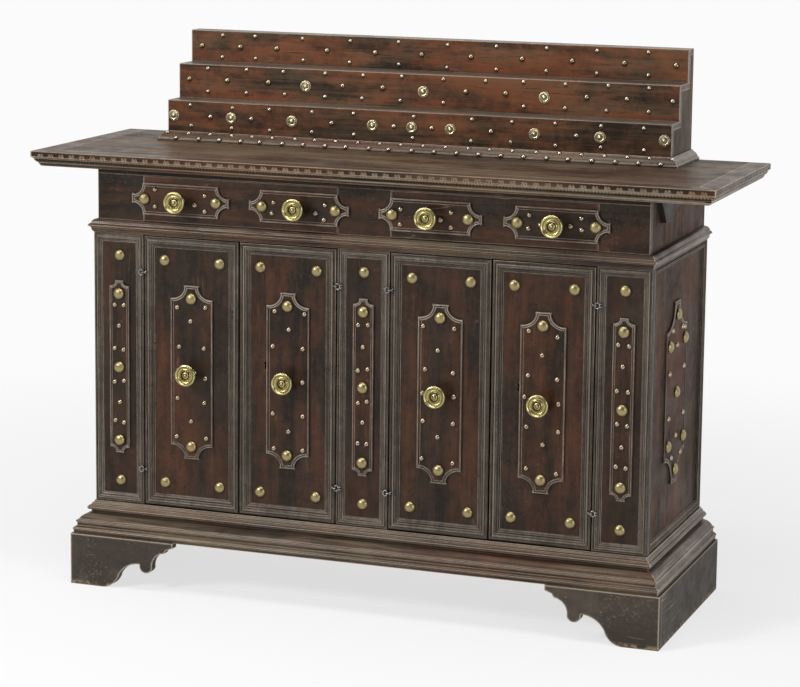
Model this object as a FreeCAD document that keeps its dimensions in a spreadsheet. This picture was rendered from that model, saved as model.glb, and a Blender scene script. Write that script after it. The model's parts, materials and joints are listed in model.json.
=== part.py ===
# A walnut sideboard on bracket feet, with four doors, two drawers and a stepped back stand on its top.
# Origin on the floor, under the middle of the top. +X is the viewer's right, -Y the front, +Z up.
import FreeCAD, Part
import math
import os
import re
import Sketcher

doc = FreeCAD.newDocument("studded_sideboard")
sheet = doc.addObject("Spreadsheet::Sheet", "sizes")

# Driving sizes in millimetres, and angles in degrees
SIZES = {
    # Carcass
    "top_side_overhang": 159,
    "top_depth": 543,
    "top_front_overhang": 44,
    "top_height": 1062,
    "top_thickness": 37,
    "case_width": 1376,
    "face_step": 4,
    "face_overhang": 11,
    "board_thickness": 24,
    "frieze_thickness": 20,
    "back_thickness": 14,
    "back_board_count": 4,
    "shelf_thickness": 20,
    "shelf_share": 0.487,
    "shelf_setback": 60,
    "partition_thickness": 22,
    "dust_board_thickness": 14,
    # Heights of the fronts
    "foot_height": 126,
    "base_height": 204,
    "waist_bottom": 870,
    "waist_height": 902,
    "top_rail_height": 12,
    # Front layout
    "pilaster_width": 132,
    "door_hinge_gap": 2,
    "door_meeting_gap": 3,
    "door_end_gap": 2.5,
    # Raised border round doors, pilasters and sides
    "field_thickness": 17,
    "border_width": 28,
    "pilaster_border_width": 23,
    "border_rise": 7,
    "side_border_width": 22,
    # Applied cartouches
    "cartouche_thickness": 6.5,
    "cartouche_bevel": 2.8,
    "ornament_lift": 4,
    "door_cartouche_end_margin": 121,
    "door_cartouche_side_margin": 69.5,
    "door_cartouche_tab_share": 0.35,
    "pilaster_cartouche_margin": 41,
    "pilaster_cartouche_tab_share": 0.4,
    "side_cartouche_end_margin": 115,
    "side_cartouche_side_margin": 159.5,
    "side_cartouche_tab_share": 0.27,
    "drawer_cartouche_overhang": 28,
    "drawer_cartouche_gap": 53,
    "drawer_cartouche_margin": 18,
    "drawer_cartouche_tab_share": 0.3,
    "drawer_cartouche_shoulder": 31,
    # Domed brass studs
    "stud_radius": 14,
    "stud_rise": 8.5,
    "stud_sides": 8,
    "door_stud_side_inset": 51.5,
    "door_stud_end_inset": 57,
    "pilaster_stud_end_inset": 52,
    "plaque_stud_inset": 31,
    "side_stud_corner_inset": 24,
    "side_stud_shoulder_inset": 32,
    "drawer_stud_inset": 33,
    # Turned brass knobs
    "knob_radius": 27,
    "knob_length": 41,
    "knob_sides": 12,
    # Brass rosettes on the stand
    "rosette_radius": 14,
    "rosette_rise": 5,
    "rosette_sides": 8,
    # Iron loop hinges
    "hinge_axis_offset": 5.6,
    "hinge_inset": 88,
    "door_eye_radius": 5.2,
    "door_eye_bore": 2.6,
    "post_eye_radius": 6.4,
    "post_eye_bore": 3.6,
    "eye_thickness": 2.4,
    "eye_neck_length": 6,
    "eye_neck_height": 5,
    # Iron locks and bolts inside the doors
    "lock_width": 96,
    "lock_height": 74,
    "lock_depth": 14,
    "lock_margin": 12,
    "lock_above_centre": 42,
    "keyhole_width": 5,
    "keyhole_height": 20,
    "keyhole_inset": 66,
    "bolt_width": 14,
    "bolt_length": 150,
    "bolt_thickness": 6,
    "bolt_plate_width": 34,
    "bolt_plate_length": 96,
    "bolt_plate_thickness": 2,
    "bolt_margin": 9,
    # Drawers
    "drawer_side_gap": 1.5,
    "drawer_height_gap": 1.5,
    "drawer_back_gap": 45,
    "drawer_box_height": 92,
    "drawer_wall": 12,
    "drawer_bottom_thickness": 8,
    "drawer_box_lift": 1,
    "drawer_guide_width": 14,
    "drawer_guide_height": 26,
    "drawer_guide_gap": 1.5,
    "block_setback": 0.5,
    # Moulding round the top
    "top_border_width": 50,
    # Waist moulding
    "waist_seat_inset": 5,
    "waist_reach": 21,
    # Base moulding
    "base_seat_inset": 11,
    "base_reach": 57,
    # Bracket feet
    "foot_thickness": 22,
    "foot_length": 274,
    "foot_pad_length": 88,
    "foot_toe_length": 42,
    "foot_toe_height": 35,
    "foot_arch_length": 98,
    "foot_arch_height": 66,
    "foot_drop_length": 33,
    "foot_drop_height": 50,
    "foot_arch_reach": 251,
    "foot_arch_top": 99,
    "foot_lobe_height": 108,
    # Shaped battens under the ends of the top
    "batten_thickness": 14,
    "batten_drop": 62,
    "batten_waist_drop": 36,
    "batten_setback": 42,
    "batten_back": 20,
    "batten_slope": 48,
    "batten_lobe": 52,
    "batten_curve": 44,
    # Stepped stand on the top
    "stand_inset": 196.5,
    "stand_board": 14,
    "stand_side": 18,
    "step_one_depth": 185,
    "step_two_depth": 118,
    "step_three_depth": 44,
    "step_one_height": 101,
    "step_two_height": 187,
    "step_three_height": 267,
    "stand_moulding_reach": 21,
    "stand_moulding_height": 24,
}

# Outlines as shares. Each corner is a share across and a share up, and an arc that leads to a corner
# adds its radius as a share and the side that it turns to.
BORDER_SHARES = (
    (0.0, 0.82),
    (0.4, 0.82),
    (0.44, 0.95),
    (0.49, 1.0),
    (0.55, 1.0),
    (0.6, 0.95),
    (0.63, 0.6),
    (0.8, 0.6),
    (0.86, 0.72),
    (0.93, 0.68),
    (1.0, 0.3),
)
KNOB_SHARES = (
    (0.46, 0.0),
    (0.4, 0.08),
    (0.22, 0.18),
    (0.22, 0.46),
    (0.55, 0.62),
    (0.97, 0.77),
    (1.0, 0.84),
    (0.9, 0.91),
    (0.66, 0.87),
    (0.36, 0.86),
    (0.28, 0.98),
    (0.14, 1.0),
)
ROSETTE_SHARES = ((1.0, 0.0), (0.86, 0.5), (0.46, 0.4), (0.3, 1.0))
STUD_SHARES = ((1.0, 0.0), (0.85, 0.5), (0.42, 1.0))
TOP_EDGE_SHARES = (
    (1.0, 1.0),
    (1.0, 0.62),
    (0.89, 0.54),
    (0.86, 0.41),
    (0.75, 0.27, 0.22, "left"),
    (0.66, 0.05),
    (0.6, 0.0),
)
WAIST_SHARES = (
    (0.14, 1.0),
    (0.48, 0.93),
    (0.65, 0.82),
    (0.73, 0.66),
    (1.0, 0.47, 0.32, "left"),
    (0.73, 0.36),
    (0.65, 0.13),
    (0.5, 0.0),
)
BASE_SHARES = (
    (0.22, 1.0),
    (0.24, 0.95),
    (0.3, 0.93),
    (0.33, 0.87),
    (0.41, 0.85),
    (0.47, 0.79),
    (0.44, 0.73),
    (0.33, 0.7),
    (0.31, 0.63),
    (0.4, 0.6),
    (0.74, 0.43, 0.42, "left"),
    (0.82, 0.41),
    (0.83, 0.36),
    (0.78, 0.33),
    (0.79, 0.24),
    (0.91, 0.19),
    (0.94, 0.14),
    (0.9, 0.1),
    (0.9, 0.0),
)
STAND_FOOT_SHARES = (
    (0.16, 1.0),
    (0.28, 0.85),
    (0.84, 0.3, 1.1, "left"),
    (1.0, 0.24),
    (1.0, 0.0),
)
# Where the rosettes sit along each riser, as shares of half the stand's width
ROSETTE_LOWER_SHARES = (-0.975, -0.735, -0.484, -0.157, 0.0, 0.153, 0.48, 0.731, 0.973)
ROSETTE_MIDDLE_SHARES = (-0.47, 0.007, 0.484)


# Sizes that follow from the driving ones. Each gets a cell of its own too.
DERIVED = {
    "top_width": "case_width + 2 * top_side_overhang",
    "frieze_depth": "top_depth - top_front_overhang",
    "face_depth": "top_depth - top_front_overhang + face_step",
    "waist_seat_depth": "top_depth - top_front_overhang - waist_seat_inset",
    "base_seat_depth": "top_depth - top_front_overhang + face_step - base_seat_inset",
    "batten_front": "top_depth - top_front_overhang - batten_setback",
    "stand_width": "case_width + 2 * top_side_overhang - 2 * stand_inset",
    "shelf_height": "base_height + (waist_bottom - base_height) * shelf_share",
    "face_height": "waist_bottom - base_height",
    "ornament_height": "(base_height + waist_bottom) / 2 + ornament_lift",
    "drawer_box_depth": "top_depth - top_front_overhang - frieze_thickness"
    " - back_thickness - drawer_back_gap",
}

WORD = re.compile(r"[A-Za-z_][A-Za-z_0-9]*")


NAMES = set(SIZES) | set(DERIVED)

for row, (alias, value) in enumerate((SIZES | DERIVED).items(), start=1):
    sheet.set(f"A{row}", alias)
    sheet.set(f"B{row}", f"={value}" if alias in DERIVED else str(value))
    sheet.setAlias(f"B{row}", alias)
doc.recompute()


def bind(text):
    """An expression in plain size names, with each name pointed at the sheet."""
    return WORD.sub(lambda word: "sizes." + word.group() if word.group() in NAMES else word.group(), text)


def number(text):
    """What an expression in size names comes to."""
    return float(sheet.evalExpression(bind(text)))


def place(item, x, y, z):
    """Tie an object's position to the sizes. Here y is zero at the back of the sideboard."""
    item.setExpression("Placement.Base.x", bind(x))
    item.setExpression("Placement.Base.y", bind(f"(base_seat_depth + base_reach) / 2 + ({y})"))
    item.setExpression("Placement.Base.z", bind(z))
    return item


def board(name, x, y, z):
    """A plain board between two values of x, y and z, each a pair of expressions."""
    box = doc.addObject("Part::Box", name)
    box.setExpression("Length", bind(f"({x[1]}) - ({x[0]})"))
    box.setExpression("Width", bind(f"({y[1]}) - ({y[0]})"))
    box.setExpression("Height", bind(f"({z[1]}) - ({z[0]})"))
    return place(box, x[0], y[0], z[0])


def plane_of(body, role):
    """One of a body's own origin planes."""
    return next(item for item in body.Origin.OriginFeatures if item.Role == role)


def new_body(name):
    return doc.addObject("PartDesign::Body", name)


def sketch_on(body, name, role, height="0"):
    """An empty sketch on one of a body's planes, lifted along its normal by an expression."""
    sketch = body.newObject("Sketcher::SketchObject", name)
    sketch.AttachmentSupport = [(plane_of(body, role), "")]
    sketch.MapMode = "FlatFace"
    if height != "0":
        sketch.setExpression("AttachmentOffset.Base.z", bind(height))
    return sketch


def pin_point(sketch, edge, end, point):
    """Hold one end of an edge at a point given by two expressions."""
    for kind, text in zip(("DistanceX", "DistanceY"), point):
        index = sketch.addConstraint(Sketcher.Constraint(kind, edge, end, number(text)))
        sketch.setExpression(f"Constraints[{index}]", bind(text))


def draw(sketch, corners, closed=True):
    """Lines and arcs through corners of two expressions. A corner's third item is the radius of the
    arc that leads to it, and its fourth says whether that arc turns left or right."""
    first = sketch.GeometryCount
    spots = [FreeCAD.Vector(number(c[0]), number(c[1]), 0) for c in corners]
    pairs = list(range(1, len(corners))) + ([0] if closed else [])
    for here, there in zip(range(len(pairs)), pairs):
        start, end, corner = spots[here], spots[there], corners[there]
        if len(corner) == 2:
            sketch.addGeometry(Part.LineSegment(start, end), False)
            continue
        radius, turn = number(corner[2]), (1 if corner[3] == "left" else -1)
        chord = end - start
        across = FreeCAD.Vector(-chord.y, chord.x, 0).normalize()
        rise = math.sqrt(max(radius**2 - (chord.Length / 2) ** 2, 0))
        centre = (start + end) * 0.5 + across * rise * turn
        middle = centre - across * radius * turn
        arc = Part.Arc(start, middle, end).toShape().Curve
        low, high = (start, end) if turn > 0 else (end, start)
        angles = [math.atan2(p.y - centre.y, p.x - centre.x) for p in (low, high)]
        circle = Part.Circle(centre, FreeCAD.Vector(0, 0, 1), arc.Radius)
        sketch.addGeometry(Part.ArcOfCircle(circle, angles[0], angles[1]), False)
    count = len(pairs)

    def end_of(item, is_start):
        corner = corners[pairs[item]]
        backwards = len(corner) > 2 and corner[3] != "left"
        return (1 if is_start else 2) if not backwards else (2 if is_start else 1)

    for item in range(count):
        corner = corners[pairs[item]]
        if len(corner) > 2:
            index = sketch.addConstraint(Sketcher.Constraint("Radius", first + item, number(corner[2])))
            sketch.setExpression(f"Constraints[{index}]", bind(corner[2]))
        if item + 1 < count or closed:
            follower = (item + 1) % count
            ends = (first + item, end_of(item, False), first + follower, end_of(follower, True))
            sketch.addConstraint(Sketcher.Constraint("Coincident", *ends))
    for item in range(count):
        pin_point(sketch, first + item, end_of(item, True), corners[item][:2])
    if not closed:
        pin_point(sketch, first + count - 1, end_of(count - 1, False), corners[-1][:2])
    return sketch


def rectangle(x, y):
    """Corners of a rectangle between two pairs of expressions."""
    return [(x[0], y[0]), (x[1], y[0]), (x[1], y[1]), (x[0], y[1])]


def pad(body, sketch, length, name):
    feature = body.newObject("PartDesign::Pad", name)
    feature.Profile = sketch
    feature.setExpression("Length", bind(length))
    return feature


def group(name, members):
    """Separate solids that share a node."""
    compound = doc.addObject("Part::Compound", name)
    compound.Links = members
    return compound


# Positions worked out from the sizes, as expressions
CASE = "case_width / 2"
INSIDE = "case_width / 2 - board_thickness"
FACE = "case_width / 2 + face_overhang"
TOP_UNDER = "(top_height - top_thickness)"
FRAME_BACK = "-(face_depth - field_thickness - border_rise)"
PAIR_INNER = "pilaster_width / 2"
PAIR_OUTER = f"({FACE} - pilaster_width)"
DOOR_WIDTH = f"(({PAIR_OUTER} - {PAIR_INNER} - door_meeting_gap) / 2 - door_hinge_gap)"
DOOR_BOTTOM = "(base_height + door_end_gap)"
DOOR_HEIGHT = "(waist_bottom - base_height - 2 * door_end_gap)"
LEAF_THICKNESS = "(field_thickness + border_rise)"
FIELD_FRONT = "-(face_depth - border_rise)"
PLAQUE_HEIGHT = "(face_height - 2 * door_cartouche_end_margin)"
PILASTER_PLAQUE_WIDTH = "(pilaster_width - 2 * pilaster_cartouche_margin)"
SIDE_PLAQUE_HEIGHT = "(face_height - 2 * side_cartouche_end_margin)"
SIDE_PLAQUE_WIDTH = "(face_depth - 2 * side_cartouche_side_margin)"
PAIR_OPENING = f"({PAIR_OUTER} - {PAIR_INNER})"
DRAWER_PLAQUE_LENGTH = f"(({PAIR_OPENING} - drawer_cartouche_gap) / 2 + drawer_cartouche_overhang)"
DRAWER_PLAQUE_WIDTH = f"({TOP_UNDER} - top_rail_height - waist_height - 2 * drawer_cartouche_margin)"
ORNAMENT_FRONT = "-(face_depth - border_rise + cartouche_thickness)"
BAND_FRONT = f"-(face_depth - border_rise * (1 - {BORDER_SHARES[0][1]}))"

nodes = []


def keep(item, name):
    """Give a finished piece the name of its file."""
    item.Label = name
    nodes.append(item)
    return item


def outline_of(shares, width, height):
    """Corners from a table of shares of a width and a height."""
    corners = []
    for share in shares:
        corner = (f"{width} * {share[0]}", f"{height} * {share[1]}")
        corners.append(corner + ((f"{width} * {share[2]}", share[3]) if len(share) > 2 else ()))
    return corners


def bordered_panel(name, width, height, border_width="border_width"):
    """A board with a raised, mitred border moulding on its front, standing on its lower left back
    corner."""
    body = new_body(name)
    plate = draw(sketch_on(body, f"{name}_plate", "XZ_Plane"), rectangle(("0", width), ("0", height)))
    pad(body, plate, "field_thickness", f"{name}_field")
    loop = draw(sketch_on(body, f"{name}_path", "XZ_Plane"), rectangle(("0", width), ("0", height)))
    seat = "-field_thickness / 2"
    section = [("0", seat)]
    for across, up in outline_of(BORDER_SHARES, border_width, "border_rise"):
        section.append((across, f"-field_thickness - {up}"))
    section.append((border_width, seat))
    outline = draw(sketch_on(body, f"{name}_section", "XY_Plane", f"({height}) / 2"), section)
    border = body.newObject("PartDesign::AdditivePipe", f"{name}_border")
    border.Profile = outline
    border.Spine = (loop, ["Edge1", "Edge2", "Edge3", "Edge4"])
    border.Transition = "Right corner"
    return body


def cartouche(name, length, width, tab_share, shoulder=None, upright=True):
    """A flat plaque with a tab at each end and hollow quarter rounds beside it, centred on its back."""
    half, side, lip = f"({length}) / 2", f"({width}) / 2", f"({width}) * {tab_share} / 2"
    beside = f"({width}) * (1 - {tab_share}) / 2"
    neck = f"({length}) / 2 - ({shoulder or beside})"
    hollow = f"(({shoulder or beside}) + {beside}) / 2"
    ends = [
        (f"-({lip})", half),
        (f"-({side})", neck, hollow, "right"),
        (f"-({side})", f"-({neck})"),
        (f"-({lip})", f"-({half})", hollow, "right"),
        (lip, f"-({half})"),
        (side, f"-({neck})", hollow, "right"),
        (side, neck),
        (lip, half, hollow, "right"),
    ]
    if not upright:
        ends = [(c[1], f"-({c[0]})") + tuple(c[2:]) for c in ends]
    body = new_body(name)
    outline = draw(sketch_on(body, f"{name}_outline", "XZ_Plane"), ends)
    pad(body, outline, "cartouche_thickness", f"{name}_plate")
    doc.recompute()
    front = [
        f"Face{index}"
        for index, face in enumerate(body.Shape.Faces, start=1)
        if face.normalAt(0, 0).y < -0.9 and face.CenterOfMass.y < 0
    ]
    plate = body.Tip
    bevel = body.newObject("PartDesign::Chamfer", f"{name}_bevel")
    bevel.Base = (plate, front)
    bevel.setExpression("Size", bind("cartouche_bevel"))
    return body


def turned(name, shares, radius, length, sides):
    """A turned piece in flats, with polygons at a table's shares of its radius and length."""
    count = round(number(sides))
    turns = [2 * math.pi * index / count for index in range(count)]
    rings = []
    for across, up in shares:
        reach, level = number(radius) * across, number(length) * up
        spots = [(reach * math.cos(turn), reach * math.sin(turn)) for turn in turns]
        rings.append([FreeCAD.Vector(x, y, level) for x, y in spots])
    outlines = [rings[0], rings[-1]]
    for low, high in zip(rings, rings[1:]):
        for here in range(count):
            there = (here + 1) % count
            outlines.append([low[here], low[there], high[there], high[here]])
    faces = [Part.Face(Part.makePolygon(outline + outline[:1])) for outline in outlines]
    piece = doc.addObject("Part::Feature", name)
    piece.Shape = Part.makeSolid(Part.makeShell(faces))
    return piece


def copies(name, pattern, places, turn=None):
    """Copies of a pattern piece as separate solids, each tied to its own place."""
    made = []
    for index, (x, y, z) in enumerate(places):
        link = doc.addObject("App::Link", f"{name}_{index}")
        link.LinkedObject = pattern
        if turn:
            link.Placement = FreeCAD.Placement(FreeCAD.Vector(), turn)
        made.append(place(link, x, y, z))
    return made


TO_FRONT = FreeCAD.Rotation(FreeCAD.Vector(1, 0, 0), 90)
TO_RIGHT = FreeCAD.Rotation(FreeCAD.Vector(0, 1, 0), 90)
TO_LEFT = FreeCAD.Rotation(FreeCAD.Vector(0, 1, 0), -90)

# Pattern pieces for the brass
stud, knob, rosette = (
    turned(f"{name}_pattern", shares, f"{name}_radius", length, f"{name}_sides")
    for name, shares, length in (
        ("stud", STUD_SHARES, "stud_rise"),
        ("knob", KNOB_SHARES, "knob_length"),
        ("rosette", ROSETTE_SHARES, "rosette_rise"),
    )
)

# Carcass boards
side_bodies = []
for name, sign in (("left", "-1"), ("right", "1")):
    body = new_body(f"side_{name}")
    plate = rectangle(("0", "face_depth - field_thickness - border_rise"), ("foot_height", TOP_UNDER))
    outline = draw(sketch_on(body, f"side_{name}_plate", "YZ_Plane"), plate)
    pad(body, outline, "board_thickness", f"side_{name}_board")
    for ring, (outer, inner, rise) in enumerate((("0", "0.6", "1"), ("0.6", "1", "0.55"))):
        shape = sketch_on(body, f"side_{name}_ring_{ring}", "YZ_Plane", "board_thickness")
        for edge in (outer, inner):
            inset = f"side_border_width * {edge}"
            draw(
                shape,
                rectangle(
                    (inset, f"face_depth - field_thickness - border_rise - {inset}"),
                    (f"base_height + {inset}", f"waist_bottom - {inset}"),
                ),
            )
        pad(body, shape, f"face_overhang * {rise}", f"side_{name}_border_{ring}")
    if name == "left":
        body.Placement.Rotation = FreeCAD.Rotation(FreeCAD.Vector(0, 0, 1), 180)
        place(body, f"-({INSIDE})", "0", "0")
    else:
        place(body, INSIDE, FRAME_BACK, "0")
    side_bodies.append(body)
keep(group("side_boards_group", side_bodies), "side_boards")

back_boards = [
    board(
        f"back_board_{index}",
        (
            f"-({INSIDE}) + 2 * ({INSIDE}) * {index} / back_board_count",
            f"-({INSIDE}) + 2 * ({INSIDE}) * {index + 1} / back_board_count",
        ),
        ("-back_thickness", "0"),
        ("foot_height", TOP_UNDER),
    )
    for index in range(SIZES["back_board_count"])
]
keep(group("back_boards_group", back_boards), "back_boards")

SHELF_X = (f"-({INSIDE})", INSIDE)
FLOOR_Z = ("base_height - shelf_thickness", "base_height")
DUST_Z = ("waist_height - dust_board_thickness", "waist_height")
keep(board("floor_board", SHELF_X, ("-base_seat_depth", "-back_thickness"), FLOOR_Z), "cupboard_floor")
keep(board("dust_panel", SHELF_X, (FRAME_BACK, "-back_thickness"), DUST_Z), "dust_board")
keep(
    board(
        "partition_board",
        ("-partition_thickness / 2", "partition_thickness / 2"),
        (FRAME_BACK, "-back_thickness"),
        ("base_height", "waist_height - dust_board_thickness"),
    ),
    "centre_partition",
)
SHELF_Y = ("-(face_depth - field_thickness - border_rise - shelf_setback)", "-back_thickness")
SHELF_Z = ("shelf_height", "shelf_height + shelf_thickness")
shelves = [
    board("shelf_left", (f"-({INSIDE})", "-partition_thickness / 2"), SHELF_Y, SHELF_Z),
    board("shelf_right", ("partition_thickness / 2", INSIDE), SHELF_Y, SHELF_Z),
]
keep(group("shelves_group", shelves), "shelves")

# Frieze: rails and the fixed blocks beside the drawers
BLOCK_Y = ("-(frieze_depth - block_setback)", "-(frieze_depth - frieze_thickness)")
BLOCK_Z = ("waist_height", f"{TOP_UNDER} - top_rail_height")
RAIL_X = (f"-({CASE})", CASE)
frieze = [
    board("lower_rail", RAIL_X, ("-waist_seat_depth", FRAME_BACK), ("waist_bottom", "waist_height")),
    board("upper_rail", RAIL_X, BLOCK_Y, (BLOCK_Z[1], TOP_UNDER)),
    board("block_left", (f"-({CASE})", f"-{PAIR_OUTER}"), BLOCK_Y, BLOCK_Z),
    board("block_centre", (f"-{PAIR_INNER}", PAIR_INNER), BLOCK_Y, BLOCK_Z),
    board("block_right", (PAIR_OUTER, CASE), BLOCK_Y, BLOCK_Z),
]
keep(group("frieze_group", frieze), "frieze_frame")

# Guides that the drawers run between
GUIDE_Y = ("-(frieze_depth - frieze_thickness)", "-back_thickness")
GUIDE_Z = ("waist_height", "waist_height + drawer_guide_height")
guides = []
for index, (edge, outward) in enumerate(((PAIR_OUTER, 1), (PAIR_INNER, -1))):
    near = f"({edge}) + {outward} * drawer_guide_gap"
    far = f"({edge}) + {outward} * (drawer_guide_gap + drawer_guide_width)"
    low, high = (near, far) if outward > 0 else (far, near)
    guides.append(board(f"guide_right_{index}", (low, high), GUIDE_Y, GUIDE_Z))
    guides.append(board(f"guide_left_{index}", (f"-({high})", f"-({low})"), GUIDE_Y, GUIDE_Z))
keep(group("guides_group", guides), "drawer_guides")

# Pilasters with their cartouches
PILASTER_HEIGHT = "(waist_bottom - base_height)"
PILASTERS = {"left": f"-({FACE})", "centre": f"-{PAIR_INNER}", "right": PAIR_OUTER}
pilasters, pilaster_plaques = [], []
for name, start in PILASTERS.items():
    body = bordered_panel(
        f"pilaster_{name}", "pilaster_width", PILASTER_HEIGHT, "pilaster_border_width"
    )
    pilasters.append(place(body, start, FRAME_BACK, "base_height"))
    plaque = cartouche(
        f"pilaster_cartouche_{name}",
        PLAQUE_HEIGHT,
        PILASTER_PLAQUE_WIDTH,
        "pilaster_cartouche_tab_share",
    )
    middle = f"({start}) + pilaster_width / 2"
    pilaster_plaques.append(place(plaque, middle, FIELD_FRONT, "ornament_height"))
keep(group("pilasters_group", pilasters), "pilasters")
keep(group("pilaster_plaques_group", pilaster_plaques), "pilaster_cartouches")

# Cartouches on the sides
side_plaques = []
for name, sign, turn in (("left", "-", -90), ("right", "", 90)):
    plaque = cartouche(
        f"side_cartouche_{name}",
        SIDE_PLAQUE_HEIGHT,
        SIDE_PLAQUE_WIDTH,
        "side_cartouche_tab_share",
    )
    plaque.Placement.Rotation = FreeCAD.Rotation(FreeCAD.Vector(0, 0, 1), turn)
    side_plaques.append(place(plaque, f"{sign}({CASE})", "-face_depth / 2", "ornament_height"))
keep(group("side_plaques_group", side_plaques), "side_cartouches")

# Studs fixed to the carcass
PILASTER_MIDDLES = [f"({start}) + pilaster_width / 2" for start in PILASTERS.values()]
face_places = []
for middle in PILASTER_MIDDLES:
    for sign, end in (("-", DOOR_BOTTOM), ("+", f"({DOOR_BOTTOM} + {DOOR_HEIGHT})")):
        inward = "+" if sign == "-" else "-"
        face_places.append((middle, FIELD_FRONT, f"{end} {inward} pilaster_stud_end_inset"))
        level = f"ornament_height {sign} ({PLAQUE_HEIGHT} / 2 - plaque_stud_inset)"
        face_places.append((middle, ORNAMENT_FRONT, level))
    face_places.append((middle, ORNAMENT_FRONT, "ornament_height"))
body_studs = copies("pilaster_stud", stud, face_places, TO_FRONT)
for name, side, turn in (("left", "-", TO_LEFT), ("right", "", TO_RIGHT)):
    seat = f"{side}({CASE} + cartouche_thickness)"
    side_places = [(seat, "-face_depth / 2", "ornament_height")]
    for sign in ("-", "+"):
        end = f"ornament_height {sign} ({SIDE_PLAQUE_HEIGHT} / 2 - side_stud_shoulder_inset)"
        side_places.append((seat, "-face_depth / 2", end))
        neck = f"{SIDE_PLAQUE_HEIGHT} / 2 - {SIDE_PLAQUE_WIDTH} * (1 - side_cartouche_tab_share) / 2"
        level = f"ornament_height {sign} ({neck} - side_stud_shoulder_inset)"
        for across in ("-", "+"):
            middle = f"-face_depth / 2 {across} ({SIDE_PLAQUE_WIDTH} / 2 - side_stud_corner_inset)"
            side_places.append((seat, middle, level))
    body_studs += copies(f"side_stud_{name}", stud, side_places, turn)
keep(group("body_studs_group", body_studs), "body_studs")


def wrapped_moulding(name, half_width, depth, level, reach, height, shares):
    """Three mouldings mitred round the sides and the front: one run of the section, cut at the mitres
    into its left, front and right pieces."""
    run = new_body(f"{name}_run")
    left, front = f"-({half_width})", f"-({depth})"
    turns = [(left, "0"), (left, front), (half_width, front), (half_width, "0")]
    path = draw(sketch_on(run, f"{name}_path", "XY_Plane"), turns, closed=False)
    corners = [("0", "0"), ("0", height)] + outline_of(shares, reach, height)
    if shares[-1][1] > 0:
        corners.append((f"{reach} * {shares[-1][0]}", "0"))
    section = [(f"-({half_width}) - ({c[0]})", c[1]) + tuple(c[2:]) for c in corners]
    pipe = run.newObject("PartDesign::AdditivePipe", f"{name}_sweep")
    pipe.Profile = draw(sketch_on(run, f"{name}_section", "XZ_Plane"), section)
    pipe.Spine = (path, ["Edge1", "Edge2", "Edge3"])
    pipe.Transition = "Right corner"
    place(run, "0", "0", level)
    inner, outer = (half_width, depth), (f"{half_width} + {reach}", f"{depth} + {reach}")
    plans = {
        "left": [(-1, inner, 0), (-1, inner, 1), (-1, outer, 1), (-1, outer, 0)],
        "front": [(-1, outer, 1), (-1, inner, 1), (1, inner, 1), (1, outer, 1)],
        "right": [(1, inner, 0), (1, outer, 0), (1, outer, 1), (1, inner, 1)],
    }
    pieces = []
    for side, plan in plans.items():
        block = new_body(f"{name}_{side}_plan")
        edge = [(f"{sign} * ({spot[0]})", f"-{front} * ({spot[1]})") for sign, spot, front in plan]
        outline = draw(sketch_on(block, f"{name}_{side}_shape", "XY_Plane"), edge)
        pad(block, outline, height, f"{name}_{side}_block")
        place(block, "0", "0", level)
        piece = doc.addObject("Part::Common", f"{name}_{side}")
        piece.Base, piece.Tool = run, block
        pieces.append(piece)
    return group(f"{name}_pieces", pieces)


# Top
keep(
    board(
        "top_board",
        ("-(top_width / 2 - top_border_width)", "top_width / 2 - top_border_width"),
        ("-(top_depth - top_border_width)", "0"),
        (TOP_UNDER, "top_height"),
    ),
    "tabletop",
)
keep(
    wrapped_moulding(
        "top_border",
        "top_width / 2 - top_border_width",
        "top_depth - top_border_width",
        TOP_UNDER,
        "top_border_width",
        "top_thickness",
        TOP_EDGE_SHARES,
    ),
    "tabletop_moulding",
)

# Mouldings at the waist and the base
waist = wrapped_moulding(
    "waist",
    CASE,
    "waist_seat_depth",
    "waist_bottom",
    "waist_reach",
    "(waist_height - waist_bottom)",
    WAIST_SHARES,
)
keep(waist, "waist_moulding")
base = wrapped_moulding(
    "base",
    CASE,
    "base_seat_depth",
    "foot_height",
    "base_reach",
    "(base_height - foot_height)",
    BASE_SHARES,
)
keep(base, "base_moulding")

# Feet: a scrolled bracket at each front corner and a plain board along each side
FOOT_OUTER = "(case_width / 2 + base_reach)"
FOOT_FRONT = "(base_seat_depth + base_reach)"
ARCH_END = "(foot_pad_length + foot_arch_length)"
DROP_END = "(foot_pad_length + foot_arch_length + foot_drop_length)"
bracket = [
    ("0", "0"),
    ("0", "foot_height"),
    ("foot_length", "foot_height"),
    ("foot_length", "foot_lobe_height + (foot_height - foot_lobe_height) / 3"),
    ("foot_arch_reach + (foot_length - foot_arch_reach) / 4", "foot_lobe_height"),
    ("foot_arch_reach", "foot_arch_top"),
    (DROP_END, "(foot_arch_height + foot_drop_height) / 2", "foot_arch_top * 0.36", "left"),
    (ARCH_END, "(foot_arch_height + foot_drop_height) / 2", "foot_drop_length * 0.52", "right"),
    (ARCH_END, "foot_arch_height"),
    ("foot_pad_length + foot_toe_length", "foot_toe_height", "foot_arch_height * 0.95", "left"),
    ("foot_pad_length", "0", "foot_toe_length * 1.1", "right"),
]
feet = []
for name, sign in (("left", 1), ("right", -1)):
    body = new_body(f"foot_{name}")
    corners = bracket
    if sign < 0:
        flip = {"left": "right", "right": "left"}
        corners = [(f"-({c[0]})", c[1]) + ((c[2], flip[c[3]]) if len(c) > 2 else ()) for c in bracket]
    outline = draw(sketch_on(body, f"foot_{name}_outline", "XZ_Plane"), corners)
    pad(body, outline, "foot_thickness", f"foot_{name}_board")
    feet.append(place(body, f"{-sign} * {FOOT_OUTER}", f"-({FOOT_FRONT} - foot_thickness)", "0"))
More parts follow.
